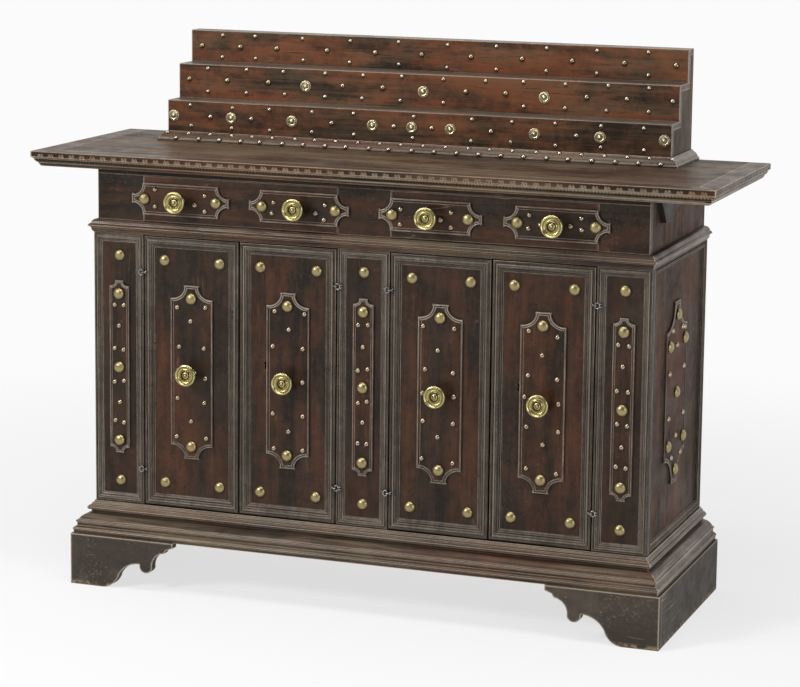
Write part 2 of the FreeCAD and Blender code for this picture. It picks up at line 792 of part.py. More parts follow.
for name, x in (
    ("left", (f"-{FOOT_OUTER}", f"-({FOOT_OUTER} - foot_thickness)")),
    ("right", (f"{FOOT_OUTER} - foot_thickness", FOOT_OUTER)),
):
    y = (f"-({FOOT_FRONT} - foot_thickness)", "0")
    feet.append(board(f"side_foot_{name}", x, y, ("0", "foot_height")))
keep(group("feet_group", feet), "foot_boards")

# Battens under the ends of the top
battens = []
for name in ("left", "right"):
    body = new_body(f"batten_{name}")
    corners = [
        ("-batten_back", "0"),
        ("-batten_front", "0"),
        ("-(batten_front - batten_slope)", "-batten_drop"),
        ("-(batten_front - batten_slope - batten_lobe)", "-batten_drop"),
        (
            "-(batten_front - batten_slope - batten_lobe - batten_curve)",
            "-batten_waist_drop",
            "batten_curve * 1.1",
            "right",
        ),
        ("-(batten_back + batten_lobe + batten_curve)", "-batten_waist_drop"),
        ("-(batten_back + batten_lobe)", "-batten_drop", "batten_curve * 1.1", "right"),
        ("-batten_back", "-batten_drop"),
    ]
    outline = draw(sketch_on(body, f"batten_{name}_outline", "YZ_Plane"), corners)
    pad(body, outline, "batten_thickness", f"batten_{name}_board")
    start = CASE if name == "right" else f"-({CASE} + batten_thickness)"
    battens.append(place(body, start, "0", TOP_UNDER))
keep(group("battens_group", battens), "top_battens")

# Stepped stand
STAND = "stand_width / 2"
STEPS = (
    ("step_one_depth", "0", "step_one_height"),
    ("step_two_depth", "step_one_height", "step_two_height"),
    ("step_three_depth", "step_two_height", "step_three_height"),
)
STAND_X = (f"-({STAND})", STAND)
risers, treads = [], []
for index, (depth, bottom, top) in enumerate(STEPS):
    front = ("-" + depth, f"-({depth} - stand_board)")
    level = (f"top_height + {bottom}", f"top_height + {top}")
    risers.append(board(f"riser_{index}", STAND_X, front, level))
    behind = f"-({STEPS[index + 1][0]} - stand_board)" if index < 2 else "0"
    level = (f"top_height + {top} - stand_board", f"top_height + {top}")
    treads.append(board(f"tread_{index}", STAND_X, (front[1], behind), level))
keep(group("risers_group", risers), "stand_risers")
keep(group("treads_group", treads), "stand_treads")
keep(
    board(
        "stand_back_board",
        STAND_X,
        ("-stand_board", "0"),
        ("top_height", "top_height + step_three_height - stand_board"),
    ),
    "stand_back",
)
stepped = [("-stand_board", "0"), ("-stand_board", "step_three_height - stand_board")]
for index in (2, 1, 0):
    depth, _, top = STEPS[index]
    stepped.append((f"-({depth} - stand_board)", f"{top} - stand_board"))
    lower = f"{STEPS[index - 1][2]} - stand_board" if index else "0"
    stepped.append((f"-({depth} - stand_board)", lower))
stand_sides = []
for name in ("left", "right"):
    body = new_body(f"stand_side_{name}")
    outline = draw(sketch_on(body, f"stand_side_{name}_outline", "YZ_Plane"), stepped)
    pad(body, outline, "stand_side", f"stand_side_{name}_board")
    start = f"{STAND} - stand_side" if name == "right" else f"-({STAND})"
    stand_sides.append(place(body, start, "0", "top_height"))
keep(group("stand_sides_group", stand_sides), "stand_sides")
keep(
    wrapped_moulding(
        "stand_foot",
        STAND,
        "step_one_depth",
        "top_height",
        "stand_moulding_reach",
        "stand_moulding_height",
        STAND_FOOT_SHARES,
    ),
    "stand_moulding",
)
rosette_places = []
for shares, depth, low, high in (
    (ROSETTE_LOWER_SHARES, "step_one_depth", "stand_moulding_height", "step_one_height"),
    (ROSETTE_MIDDLE_SHARES, "step_two_depth", "step_one_height", "step_two_height"),
):
    for share in shares:
        middle = f"top_height + ({low} + {high}) / 2"
        rosette_places.append((f"stand_width / 2 * {share}", f"-{depth}", middle))
keep(group("rosettes_group", copies("rosette", rosette, rosette_places, TO_FRONT)), "stand_rosettes")

# Loop hinges: an upright eye on the pilaster through a level eye on the door. The necks start at this
# share of an eye's radius.
NECK_SHARE = 0.86
HINGE_Y = "-(face_depth + hinge_axis_offset)"
HINGE_LEVELS = (f"{DOOR_BOTTOM} + hinge_inset", f"{DOOR_BOTTOM} + {DOOR_HEIGHT} - hinge_inset")


def ring(name, radius, bore, upright):
    """A forged eye of eight flats, lying level or standing upright across the front."""
    parts = []
    for kind, size in (("rim", radius), ("hole", bore)):
        prism = doc.addObject("Part::Prism", f"{name}_{kind}")
        prism.Polygon = 8
        prism.setExpression("Circumradius", bind(size))
        prism.setExpression("Height", bind("eye_thickness"))
        parts.append(prism)
    cut = doc.addObject("Part::Cut", name)
    cut.Base, cut.Tool = parts
    if upright:
        cut.Placement.Rotation = TO_FRONT
    return cut


def eye(name, axis_x, level, side, kind, upright):
    """One half of a hinge: a ring and the neck that seats it on the wood, towards side."""
    radius, bore = f"{kind}_radius", f"{kind}_bore"
    loop = ring(f"{name}_ring", radius, bore, upright)
    centre = f"{axis_x} + {side} * ({radius} + {bore}) / 2" if upright else axis_x
    front = f"{HINGE_Y} - eye_thickness / 2"
    if upright:
        place(loop, centre, f"{HINGE_Y} + eye_thickness / 2", level)
    else:
        place(loop, centre, HINGE_Y, f"{level} - eye_thickness / 2")
    near = f"({centre}) + {side} * {radius} * {NECK_SHARE}"
    far = f"({centre}) + {side} * ({radius} * {NECK_SHARE} + eye_neck_length)"
    x = (near, far) if side > 0 else (far, near)
    height = "eye_neck_height" if upright else "eye_thickness"
    z = (f"{level} - {height} / 2", f"{level} + {height} / 2")
    neck = board(f"{name}_neck", x, (front, "-face_depth" if upright else BAND_FRONT), z)
    fused = doc.addObject("Part::Fuse", name)
    fused.Base, fused.Tool = loop, neck
    return fused


DOORS = {
    1: (f"-{PAIR_OUTER} + door_hinge_gap", f"-{PAIR_OUTER} + door_hinge_gap / 2", 1),
    2: (f"-{PAIR_INNER} - door_hinge_gap - {DOOR_WIDTH}", f"-{PAIR_INNER} - door_hinge_gap / 2", -1),
    3: (f"{PAIR_INNER} + door_hinge_gap", f"{PAIR_INNER} + door_hinge_gap / 2", 1),
    4: (f"{PAIR_OUTER} - door_hinge_gap - {DOOR_WIDTH}", f"{PAIR_OUTER} - door_hinge_gap / 2", -1),
}
post_eyes = []
for number_of_door, (start, axis_x, side) in DOORS.items():
    name = f"door_{number_of_door}"
    middle = f"({start}) + {DOOR_WIDTH} / 2"
    leaf = bordered_panel(f"{name}_panel", DOOR_WIDTH, DOOR_HEIGHT)
    locked = side < 0
    if locked:
        keyhole = sketch_on(leaf, f"{name}_keyhole_outline", "XZ_Plane")
        x, z = "keyhole_inset", f"ornament_height + lock_above_centre - {DOOR_BOTTOM}"
        across = (f"{x} - keyhole_width / 2", f"{x} + keyhole_width / 2")
        draw(keyhole, rectangle(across, (f"{z} - keyhole_height", z)))
        hole = leaf.newObject("PartDesign::Pocket", f"{name}_keyhole")
        hole.Profile = keyhole
        hole.Type = "ThroughAll"
        hole.Midplane = True
    keep(place(leaf, start, FRAME_BACK, DOOR_BOTTOM), f"{name}_leaf")
    plaque = cartouche(
        f"{name}_plaque",
        PLAQUE_HEIGHT,
        f"({DOOR_WIDTH} - 2 * door_cartouche_side_margin)",
        "door_cartouche_tab_share",
    )
    keep(place(plaque, middle, FIELD_FRONT, "ornament_height"), f"{name}_cartouche")
    places = []
    for sign, corner in (
        ("-", f"{DOOR_BOTTOM} + door_stud_end_inset"),
        ("+", f"{DOOR_BOTTOM} + {DOOR_HEIGHT} - door_stud_end_inset"),
    ):
        for across in ("-", "+"):
            x = f"{middle} {across} ({DOOR_WIDTH} / 2 - door_stud_side_inset)"
            places.append((x, FIELD_FRONT, corner))
        level = f"ornament_height {sign} ({PLAQUE_HEIGHT} / 2 - plaque_stud_inset)"
        places.append((middle, ORNAMENT_FRONT, level))
    keep(group(f"{name}_stud_group", copies(f"{name}_stud", stud, places, TO_FRONT)), f"{name}_studs")
    handle = copies(f"{name}_handle", knob, [(middle, ORNAMENT_FRONT, "ornament_height")], TO_FRONT)
    keep(group(f"{name}_handle_group", handle), f"{name}_knob")
    eyes = []
    for index, level in enumerate(HINGE_LEVELS):
        eyes.append(eye(f"{name}_eye_{index}", axis_x, level, side, "door_eye", upright=False))
        post_eyes.append(eye(f"{name}_post_eye_{index}", axis_x, level, -side, "post_eye", upright=True))
    keep(group(f"{name}_eye_group", eyes), f"{name}_hinge_eyes")
    behind = (FRAME_BACK, f"{FRAME_BACK} + lock_depth")
    if locked:
        lock = board(
            f"{name}_lock_case",
            (f"{start} + lock_margin", f"{start} + lock_margin + lock_width"),
            behind,
            (
                "ornament_height + lock_above_centre - lock_height / 2",
                "ornament_height + lock_above_centre + lock_height / 2",
            ),
        )
        keep(lock, f"{name}_lock")
    else:
        edge = f"{start} + {DOOR_WIDTH} - bolt_margin"
        top = f"{DOOR_BOTTOM} + {DOOR_HEIGHT} - bolt_margin"
        plate = board(
            f"{name}_bolt_plate",
            (f"{edge} - bolt_plate_width", edge),
            (FRAME_BACK, f"{FRAME_BACK} + bolt_plate_thickness"),
            (f"{top} - bolt_plate_length - bolt_margin", f"{top} - bolt_margin"),
        )
        centre = f"{edge} - bolt_plate_width / 2"
        seat = f"{FRAME_BACK} + bolt_plate_thickness"
        bar = board(
            f"{name}_bolt_bar",
            (f"{centre} - bolt_width / 2", f"{centre} + bolt_width / 2"),
            (seat, f"{seat} + bolt_thickness"),
            (f"{top} - bolt_length", top),
        )
        keep(group(f"{name}_bolt_group", [plate, bar]), f"{name}_bolt")
keep(group("post_eyes_group", post_eyes), "hinge_eyes")

# Drawers: a front, a box of boards, and on the front two cartouches with studs and knobs
DRAWER_FRONT_BACK = "-(frieze_depth - frieze_thickness)"
DRAWER_Z = ("waist_height + drawer_height_gap", f"{TOP_UNDER} - top_rail_height - drawer_height_gap")
for name, start in (("left", f"-{PAIR_OUTER}"), ("right", PAIR_INNER)):
    label = f"drawer_{name}"
    x = (f"({start}) + drawer_side_gap", f"({start}) + {PAIR_OPENING} - drawer_side_gap")
    middle = f"({start}) + {PAIR_OPENING} / 2"
    keep(board(f"{label}_face", x, ("-frieze_depth", DRAWER_FRONT_BACK), DRAWER_Z), f"{label}_front")
    box_x = (f"{x[0]} + drawer_guide_gap", f"{x[1]} - drawer_guide_gap")
    box_y = (DRAWER_FRONT_BACK, f"{DRAWER_FRONT_BACK} + drawer_box_depth")
    floor_z = ("waist_height + drawer_box_lift", "waist_height + drawer_box_lift + drawer_bottom_thickness")
    wall_z = (floor_z[1], f"{floor_z[1]} + drawer_box_height - drawer_bottom_thickness")
    box_parts = [
        board(f"{label}_bottom_board", box_x, box_y, floor_z),
        board(f"{label}_side_a", (box_x[0], f"{box_x[0]} + drawer_wall"), box_y, wall_z),
        board(f"{label}_side_b", (f"{box_x[1]} - drawer_wall", box_x[1]), box_y, wall_z),
        board(
            f"{label}_back_board",
            (f"{box_x[0]} + drawer_wall", f"{box_x[1]} - drawer_wall"),
            (f"{box_y[1]} - drawer_wall", box_y[1]),
            wall_z,
        ),
    ]
    keep(group(f"{label}_box_group", box_parts), f"{label}_box")
    level = f"({DRAWER_Z[0]} + {DRAWER_Z[1]}) / 2"
    plaques, studs, knobs = [], [], []
    for index, sign in enumerate(("-", "+")):
        centre = f"{middle} {sign} ({DRAWER_PLAQUE_LENGTH} + drawer_cartouche_gap) / 2"
        plaque = cartouche(
            f"{label}_plaque_{index}",
            DRAWER_PLAQUE_LENGTH,
            DRAWER_PLAQUE_WIDTH,
            "drawer_cartouche_tab_share",
            "drawer_cartouche_shoulder",
            upright=False,
        )
        plaques.append(place(plaque, centre, "-frieze_depth", level))
        front = "-(frieze_depth + cartouche_thickness)"
        reach = f"({DRAWER_PLAQUE_LENGTH} / 2 - drawer_stud_inset)"
        studs += [(f"{centre} {across} {reach}", front, level) for across in ("-", "+")]
        knobs.append((centre, front, level))
    keep(group(f"{label}_plaque_group", plaques), f"{label}_cartouches")
    keep(group(f"{label}_stud_group", copies(f"{label}_stud", stud, studs, TO_FRONT)), f"{label}_studs")
    keep(group(f"{label}_knob_group", copies(f"{label}_knob", knob, knobs, TO_FRONT)), f"{label}_knobs")

doc.recompute()

# Stop on any object that failed or any piece without a sound solid
for item in doc.Objects:
    if "Invalid" in item.State or "Error" in item.State:
        raise RuntimeError(f"{item.Label} did not build: {item.State}")
for item in nodes:
    shape = item.Shape
    if shape.isNull() or not shape.isValid() or not shape.Solids:
        raise RuntimeError(f"{item.Label} has no sound solid")

os.makedirs("parts", exist_ok=True)
for item in nodes:
    item.Shape.exportStep(f"parts/{item.Label}.step")
    print(item.Label, len(item.Shape.Solids), round(item.Shape.Volume / 1000), "cm3")
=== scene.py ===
"""A walnut sideboard with brass studs, turned knobs and a stepped stand on its top."""

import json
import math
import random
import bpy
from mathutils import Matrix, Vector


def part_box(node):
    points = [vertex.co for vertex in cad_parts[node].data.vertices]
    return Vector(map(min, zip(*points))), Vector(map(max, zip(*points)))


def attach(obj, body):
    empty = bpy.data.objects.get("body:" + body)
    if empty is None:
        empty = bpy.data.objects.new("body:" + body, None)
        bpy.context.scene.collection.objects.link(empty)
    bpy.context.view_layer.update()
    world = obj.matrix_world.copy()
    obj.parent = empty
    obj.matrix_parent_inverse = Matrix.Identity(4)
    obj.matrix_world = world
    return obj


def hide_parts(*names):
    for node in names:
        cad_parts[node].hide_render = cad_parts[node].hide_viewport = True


bl_info = {
    "name": "Studded walnut sideboard",
    "version": (1, 0, 0),
    "blender": (4, 5, 0),
    "location": "3D View > Sidebar > Sideboard",
    "description": "Surfaces, brass, ironwork and light of a studded walnut sideboard",
    "category": "Object",
}

import bmesh
import bpy
from bpy.props import FloatProperty, FloatVectorProperty, IntProperty, PointerProperty
from mathutils import Matrix, Vector, noise

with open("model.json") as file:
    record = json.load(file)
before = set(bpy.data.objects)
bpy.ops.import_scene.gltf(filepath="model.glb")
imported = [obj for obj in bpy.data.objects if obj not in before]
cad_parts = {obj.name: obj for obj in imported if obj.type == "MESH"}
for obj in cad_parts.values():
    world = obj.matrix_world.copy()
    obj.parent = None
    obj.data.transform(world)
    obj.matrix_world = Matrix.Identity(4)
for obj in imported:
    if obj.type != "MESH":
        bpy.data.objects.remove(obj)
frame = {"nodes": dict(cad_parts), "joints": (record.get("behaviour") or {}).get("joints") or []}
MM = 0.001

# Small studs on each door, as x and z in millimetres from the middle of the leaf
DOOR_STUDS = {
    1: (
        (-37, 158), (37, 162), (-2, 126), (-32, 62), (33, 62), (37, -11), (-36, -64), (34, -71), (-1, -119),
        (-39, -159), (39, -158),
    ),
    2: (
        (-33, 167), (43, 165), (3, 125), (-38, 82), (39, 81), (39, 0), (-37, -81), (40, -82), (3, -122), (-34, -166),
        (40, -165),
    ),
    3: (
        (-42, 159), (35, 158), (-5, 104), (-36, 57), (33, 53), (-42, 0), (36, -3), (-40, -66), (35, -67), (-3, -102),
        (-42, -156), (35, -161),
    ),
    4: (
        (-34, 167), (35, 157), (-1, 112), (-34, 63), (36, 58), (-42, 12), (40, 1), (-36, -58), (41, -64), (4, -97),
        (-35, -156), (38, -163),
    ),
}
# Small studs on each drawer cartouche, from its middle
DRAWER_STUDS = (
    ((-65.5, 24), (-65.5, -17), (64.5, 16), (64.5, -22), (38.5, -8)),
    ((-63, 11), (-67, -15), (67.5, 12), (44, -9), (65, -23)),
    ((-72, 14), (-73, -22), (26.5, -6), (51.5, 13), (52, -22)),
    ((-64.5, 19), (-66, -12), (-38, -2), (34, -1), (59, 19), (60, -8)),
)
# Small studs on the pilasters, from the middle of the fronts
PILASTER_STUDS = (
    (-12, 151), (13, 151), (-13, 43), (12, 43), (-12, -35), (12, -35), (-12, -135), (12, -135), (0, 99), (1, -86),
)
# Small studs on the side cartouches, as y and z from the middle
SIDE_STUDS = (
    (-44, 153), (44, 149), (65, 145), (-2, 113), (-65, 54), (65, 51), (-65, -53), (68, -62), (3, -105), (50, -155),
    (-32, -153),
)
# Studs along each riser, as shares of half its width
STAND_MEDIUM = {
    3: (-0.956, -0.793, -0.64, -0.43, -0.232, -0.043, 0.155, 0.357, 0.553, 0.755, 0.952),
    2: (-0.958, -0.798, -0.626, -0.157, 0.175, 0.332, 0.646),
    1: (),
}
STAND_SMALL = {
    3: (),
    2: (-0.32, 0.799, 0.972),
    1: (-0.822, -0.652, -0.323, -0.072, 0.078, 0.311, 0.64),
}
STAND_PAIRS = {
    3: (-0.87, -0.729, -0.53, -0.335, -0.138, 0.061, 0.258, 0.453, 0.649, 0.844),
    2: (-0.878, -0.719, -0.561, -0.394, -0.238, -0.083, 0.089, 0.251, 0.403, 0.566, 0.724, 0.884),
    1: (-0.905, -0.732, -0.575, -0.401, -0.235, 0.005, 0.235, 0.39, 0.561, 0.735, 0.896),
}
# Height of each riser's row and how far the pairs stand from it, in millimetres
RISER_ROWS = {3: (228, 28), 2: (149, 29), 1: (63, 25)}
# A pin that is lost: riser, share of half its width, lower one of the pair
MISSING_PIN = (2, 0.251, -1)
# Pins on the moulding under the stand: first x in millimetres, depth and height in metres, outward way
STAND_FOOT_ROWS = ((-646, 0.0075, 0.0195, (0, -0.66, 0.75)), (-617, 0.0205, 0.0085, (0, -0.85, 0.5)))
STAND_FOOT_PITCH, STAND_FOOT_END = 56.7, 680
# How far the small studs stand behind the crest of a cartouche's beads
STUD_SINK = 0.0021
# Keyholes in the leaves, as x and z in metres
KEYHOLES = {2: (-0.249, 0.573), 4: (0.384, 0.573)}
# A cartouche: its rise from the field, how much of that is its beads, the small step at its shoulders, the length
# of a drawer cartouche's shoulder, and the beads along its two ends, each as its inset and its share of their size
CARTOUCHE_RISE = 0.0065
BEAD_RISE = 0.0018
EAR = 0.0026
DRAWER_SHOULDER = 0.031
LIP_BEADS = ((0.0016, 0.7), (0.0058, 0.55))
# Pieces farther than this from the middle of the case stand on its sides
SIDE_REACH = 0.68
DOORS = (1, 2, 3, 4)
SIDES = ("left", "right")
FRONT = Vector((0, -1, 0))

# A gouge in the top's edge: from the middle of its pair, out of the edge, its half width, depth and height, how far
# its height wavers, and the length at the corners that has none
GOUGE_APART = 0.0036
GOUGE_PROUD = 0.0004
GOUGE_WIDE, GOUGE_DEEP, GOUGE_TALL = 0.0021, 0.0024, 0.0052
GOUGE_WAVER = 0.0007
GOUGE_MARGIN = 0.03
# The nicks on the top's edge: how many to a metre, and the height of their band
NICKS_PER_METRE = 125.0
NICK_LEVEL = 1.0405
# Hinge wire: radius of a leaf's eye, half width and height of a post's loop, and the legs' courses, each point as
# its way to the side, its depth and its share of the leg's lift
LEAF_EYE = 0.0038
POST_LOOP = (0.0052, 0.0066)
LEAF_LEG = ((0.0036, -0.0008, 0), (0.0065, 0.0004, 1), (0.0088, 0.0032, 2.2), (0.0094, 0.0068, 2.6))
POST_LEG = ((0, 0, 0), (0.003, 0.0006, 0.4), (0.0052, 0.0028, 0.2), (0.0058, 0.0062, 0))

# Turned profiles, outward from the seat: shares of the radius and of the height
DOME = (
    (1.0, 0.0), (1.0, 0.08), (0.96, 0.24), (0.88, 0.44), (0.75, 0.66), (0.57, 0.83), (0.37, 0.94), (0.18, 0.985),
    (0.0, 1.0),
)
KNOB = (
    (0.48, 0.0), (0.48, 0.035), (0.42, 0.07), (0.3, 0.12), (0.235, 0.2), (0.215, 0.32), (0.235, 0.44), (0.31, 0.53),
    (0.5, 0.61), (0.78, 0.69), (0.95, 0.74), (1.0, 0.79), (1.0, 0.84), (0.975, 0.89), (0.93, 0.925), (0.87, 0.935),
    (0.81, 0.91), (0.765, 0.86), (0.73, 0.81), (0.68, 0.78), (0.61, 0.765), (0.54, 0.775), (0.5, 0.8), (0.47, 0.85),
    (0.43, 0.865), (0.395, 0.83), (0.37, 0.76), (0.33, 0.76), (0.3, 0.83), (0.25, 0.87), (0.19, 0.88), (0.165, 0.83),
    (0.145, 0.83), (0.13, 0.9), (0.1, 0.94), (0.06, 0.96), (0.0, 0.965),
)
ROSETTE = (
    (1.0, 0.0), (1.0, 0.2), (0.95, 0.42), (0.87, 0.46), (0.82, 0.2), (0.78, 0.2), (0.74, 0.62), (0.66, 0.78),
    (0.56, 0.7), (0.52, 0.3), (0.47, 0.3), (0.43, 0.76), (0.37, 0.8), (0.33, 0.4), (0.28, 0.4), (0.24, 0.86),
    (0.15, 0.98), (0.0, 1.0),
)
# Border moulding, inward from the edge: shares of its width and of its rise above the field
BORDER = (
    (0.0, 0.56), (0.03, 0.76), (0.08, 0.88), (0.15, 0.9), (0.21, 0.82), (0.25, 0.62), (0.28, 0.62), (0.3, 0.86),
    (0.34, 0.98), (0.38, 1.0), (0.43, 0.94), (0.46, 0.74), (0.49, 0.72), (0.52, 0.84), (0.56, 0.9), (0.6, 0.84),
    (0.63, 0.66), (0.68, 0.62), (0.76, 0.52), (0.83, 0.36), (0.87, 0.28), (0.9, 0.27), (0.92, 0.34), (0.95, 0.34),
    (0.97, 0.22), (1.0, 0.0),
)


def length(name, description, default):
    return FloatProperty(name=name, description=description, default=default, unit="LENGTH")


def shade(name, description, default):
    return FloatVectorProperty(name=name, description=description, default=default, subtype="COLOR", size=3)


class SideboardSizes(bpy.types.PropertyGroup):
    small_stud: length("Small stud", "Across a small stud", 0.0132)
    medium_stud: length("Medium stud", "Across a stud in the stand's rows", 0.015)
    pair_stud: length("Pin stud", "Across a stud at a riser's edges", 0.0115)
    stud_rise: FloatProperty(
        name="Stud rise", description="Height of a stud as a share of its width", default=0.42, subtype="FACTOR"
    )
    border_width: length("Door border", "Width of the moulding round a door", 0.028)
    border_rise: length("Border rise", "Height of the moulding above the field", 0.007)
    pilaster_border: length("Pilaster border", "Width of the moulding round a pilaster", 0.023)
    side_border: length("Side border", "Width of the moulding round a side", 0.022)
    gouge_drop: length("Gouge drop", "How far the cuts lie under the top", 0.0115)
    edge_round: length("Edge round", "Rounding of the wood's edges", 0.0011)
    rim_width: length("Cartouche rim", "From a cartouche's edge to its inner line", 0.0075)
    gouge_pitch: length("Gouge pitch", "Spacing of the pairs of cuts under the top's edge", 0.0278)
    wire: length("Hinge wire", "Thickness of the hinges' wire", 0.0024)
    turning_steps: IntProperty(name="Turning steps", description="Flats round a turned piece", default=40)


class SideboardColours(bpy.types.PropertyGroup):
    dark: shade("Dark walnut", "Shadowed walnut", (0.0078, 0.0054, 0.0042))
    brown: shade("Brown walnut", "Middle tone of the walnut", (0.027, 0.0162, 0.0108))
    red: shade("Red walnut", "Warm tone of the walnut", (0.078, 0.0265, 0.0115))
    # The worn colour also serves the painted highlights on edges, crests, upward and right-facing faces and upper
    # lips.
    worn_and_highlight: shade("Worn edge", "Rubbed edges", (0.4, 0.335, 0.265))
    bare: shade("Bare wood", "Chipped and raw wood", (0.34, 0.245, 0.14))
    gold: shade("Knob brass", "Polished brass", (0.46, 0.4, 0.19))
    brass: shade("Stud brass", "Aged brass", (0.36, 0.295, 0.145))
    iron: shade("Iron", "Forged iron", (0.42, 0.4, 0.38))


def sizes():
    return bpy.context.scene.sideboard_sizes


def colours():
    return bpy.context.scene.sideboard_colours


# Nodes


def fill(tree, socket, value):
    """Links another socket to this one, or sets its value."""
    if isinstance(value, bpy.types.NodeSocket):
        tree.links.new(value, socket)
        return
    width = len(socket.default_value) if hasattr(socket.default_value, "__len__") else 1
    if width == 4 and len(value) == 3:
        value = (*value, 1.0)
    socket.default_value = value


def put(tree, kind, inputs=None, **settings):
    """Adds a node, filling its sockets from values or from other sockets."""
    made = tree.nodes.new(kind)
    for key, value in settings.items():
        setattr(made, key, value)
    for key, value in (inputs or {}).items():
        fill(tree, made.inputs[key], value)
    return made


def maths(tree, operation, a, b=0.0, c=None, clamp=False):
    inputs = {index: value for index, value in enumerate((a, b, c)) if value is not None}
    return put(tree, "ShaderNodeMath", inputs, operation=operation, use_clamp=clamp).outputs[0]


def times(tree, a, b, clamp=False):
    return maths(tree, "MULTIPLY", a, b, clamp=clamp)


def scaled(tree, value, share, start):
    """A share of a value, added to a start."""
    return maths(tree, "MULTIPLY_ADD", value, share, start)


def blend_colour(tree, factor, a, b):
    return put(tree, "ShaderNodeMix", {0: factor, 6: a, 7: b}, data_type="RGBA").outputs[2]


def coat(tree, base, factor, colour, share=1.0):
    """Lays a share of a colour over the base."""
    return blend_colour(tree, factor, base, [c * share for c in colour])


def ramp(tree, value, low, high, curve="SMOOTHSTEP"):
    inputs = {"Value": value, "From Min": low, "From Max": high}
    return put(tree, "ShaderNodeMapRange", inputs, interpolation_type=curve).outputs["Result"]


def speckle(tree, vector, scale, detail=3.0, rough=0.55, distortion=0.0):
    inputs = {"Vector": vector, "Scale": scale, "Detail": detail, "Roughness": rough, "Distortion": distortion}
    return put(tree, "ShaderNodeTexNoise", inputs).outputs["Fac"]


def thin_line(tree, value, width):
    """Thin lines where a noise crosses one half."""
    away = maths(tree, "ABSOLUTE", maths(tree, "SUBTRACT", value, 0.5))
    return ramp(tree, away, width, 0.0)


def new_group(name, **numbers):
    """A node group that is given a vector and some numbers."""
    group = bpy.data.node_groups.new(name, "ShaderNodeTree")
    group.interface.new_socket("Vector", in_out="INPUT", socket_type="NodeSocketVector")
    for title, value in numbers.items():
        group.interface.new_socket(title, in_out="INPUT", socket_type="NodeSocketFloat").default_value = value
    return group, group.nodes.new("NodeGroupInput").outputs


def give(group, **results):
    """Hands the results of a group out."""
    for title in results:
        group.interface.new_socket(title, in_out="OUTPUT", socket_type="NodeSocketFloat")
    out = group.nodes.new("NodeGroupOutput")
    for title, value in results.items():
        group.links.new(value, out.inputs[title])
    return group


def figure_group():
    """Grain along Z of the given vector: streaks, warm patches, pale glow, pores and fine cracks."""
    group, given = new_group("Walnut figure")

    def grain(across, along, shift, *texture):
        """Noise drawn out along the grain."""
        place = {"Vector": given["Vector"], "Scale": (across, across, along), "Location": shift}
        return speckle(group, put(group, "ShaderNodeMapping", place).outputs[0], 1.0, *texture)

    streak = grain(34, 2.4, (0, 0, 0), 6.0, 0.68, 0.5)
    broad = grain(11, 1.6, (5, 1, 2), 4.0, 0.6, 0.7)
    mottle = speckle(group, given["Vector"], 42.0, 5.0, 0.7)
    mixed = scaled(group, streak, 0.42, scaled(group, broad, 0.26, times(group, mottle, 0.32)))
    warm = grain(8, 3.0, (2, 7, 3), 5.0, 0.66, 0.5)
    warm = scaled(group, warm, 0.62, scaled(group, streak, 0.2, times(group, mottle, 0.18)))
    glow = grain(75, 2.2, (8, 2, 5), 6.0, 0.72, 0.3)
    glow = scaled(group, glow, 0.6, times(group, grain(7, 3.0, (3, 3, 1), 3.0), 0.4))
    pores = grain(420, 14, (1, 3, 0), 2.0, 0.5)
    cracks = thin_line(group, grain(60, 0.9, (9, 4, 6), 2.0, 0.45, 0.25), 0.008)
    gate = ramp(group, grain(4, 1.5, (4, 4, 4), 2.0), 0.6, 0.68)
    return give(
        group,
        Streak=ramp(group, mixed, 0.4, 0.6),
        Patch=ramp(group, warm, 0.42, 0.68),
        Pores=ramp(group, pores, 0.6, 0.72),
        Cracks=times(group, cracks, gate),
        Glow=ramp(group, glow, 0.46, 0.6),
    )


def wear_and_corner_shade_group():
    """How far a point lies on a rubbed edge, broken up along its length, and how deep in a corner, for painted shade.
    """
    group, given = new_group("Rubbed edges", Radius=0.0028, Amount=0.5)
    bevel = put(group, "ShaderNodeBevel", {"Radius": given["Radius"]}, samples=6)
    flat = group.nodes.new("ShaderNodeNewGeometry").outputs["True Normal"]
    dot = put(group, "ShaderNodeVectorMath", {0: bevel.outputs[0], 1: flat}, operation="DOT_PRODUCT")
    turn = maths(group, "SUBTRACT", 1.0, dot.outputs["Value"])
    # Ambient occlusion measures the corners that get painted shade.
    inside = put(group, "ShaderNodeAmbientOcclusion", {"Distance": 0.012}, samples=8)
    corner = ramp(group, inside.outputs["AO"], 0.82, 0.25)
    edge = times(group, ramp(group, turn, 0.008, 0.085), maths(group, "SUBTRACT", 1.0, corner, clamp=True))
    rough = speckle(group, given["Vector"], 55.0, 4.0, 0.65)
    broad = speckle(group, given["Vector"], 7.0, 3.0, 0.6)
    both = maths(group, "ADD", times(group, rough, 0.55), times(group, broad, 0.45))
    gate = ramp(group, both, maths(group, "SUBTRACT", 0.78, times(group, given["Amount"], 0.55)), 0.72)
    return give(group, Wear=times(group, edge, gate), Edge=edge, Corner=corner)


def scratch_group():
    """Fine scratches and pale specks."""
    group, given = new_group("Scratches")
    marks = ramp(group, speckle(group, given["Vector"], 190.0, 2.0, 0.5), 0.7, 0.76)
    for index, (angle, across, along) in enumerate(((0.25, 22, 1.5), (-0.5, 17, 1.2), (1.2, 15, 1.4))):
        place = {"Vector": given["Vector"], "Rotation": (angle * 0.6, angle, 0)}
        place.update({"Scale": (across, across, along), "Location": (index * 3.1, 0, 0)})
        turned = put(group, "ShaderNodeMapping", place).outputs[0]
        line = thin_line(group, speckle(group, turned, 1.0, 1.0, 0.4), 0.0045)
        gate = ramp(group, speckle(group, given["Vector"], 5.0 + index * 2, 3.0, 0.6), 0.57, 0.66)
        marks = maths(group, "MAXIMUM", marks, times(group, line, gate))
    return give(group, Marks=marks)


GROUPS = {}


def effect(tree, maker, **inputs):
    """The results of a shared node group, which is made once."""
    if maker not in GROUPS:
        GROUPS[maker] = maker()
    return put(tree, "ShaderNodeGroup", inputs, node_tree=GROUPS[maker]).outputs


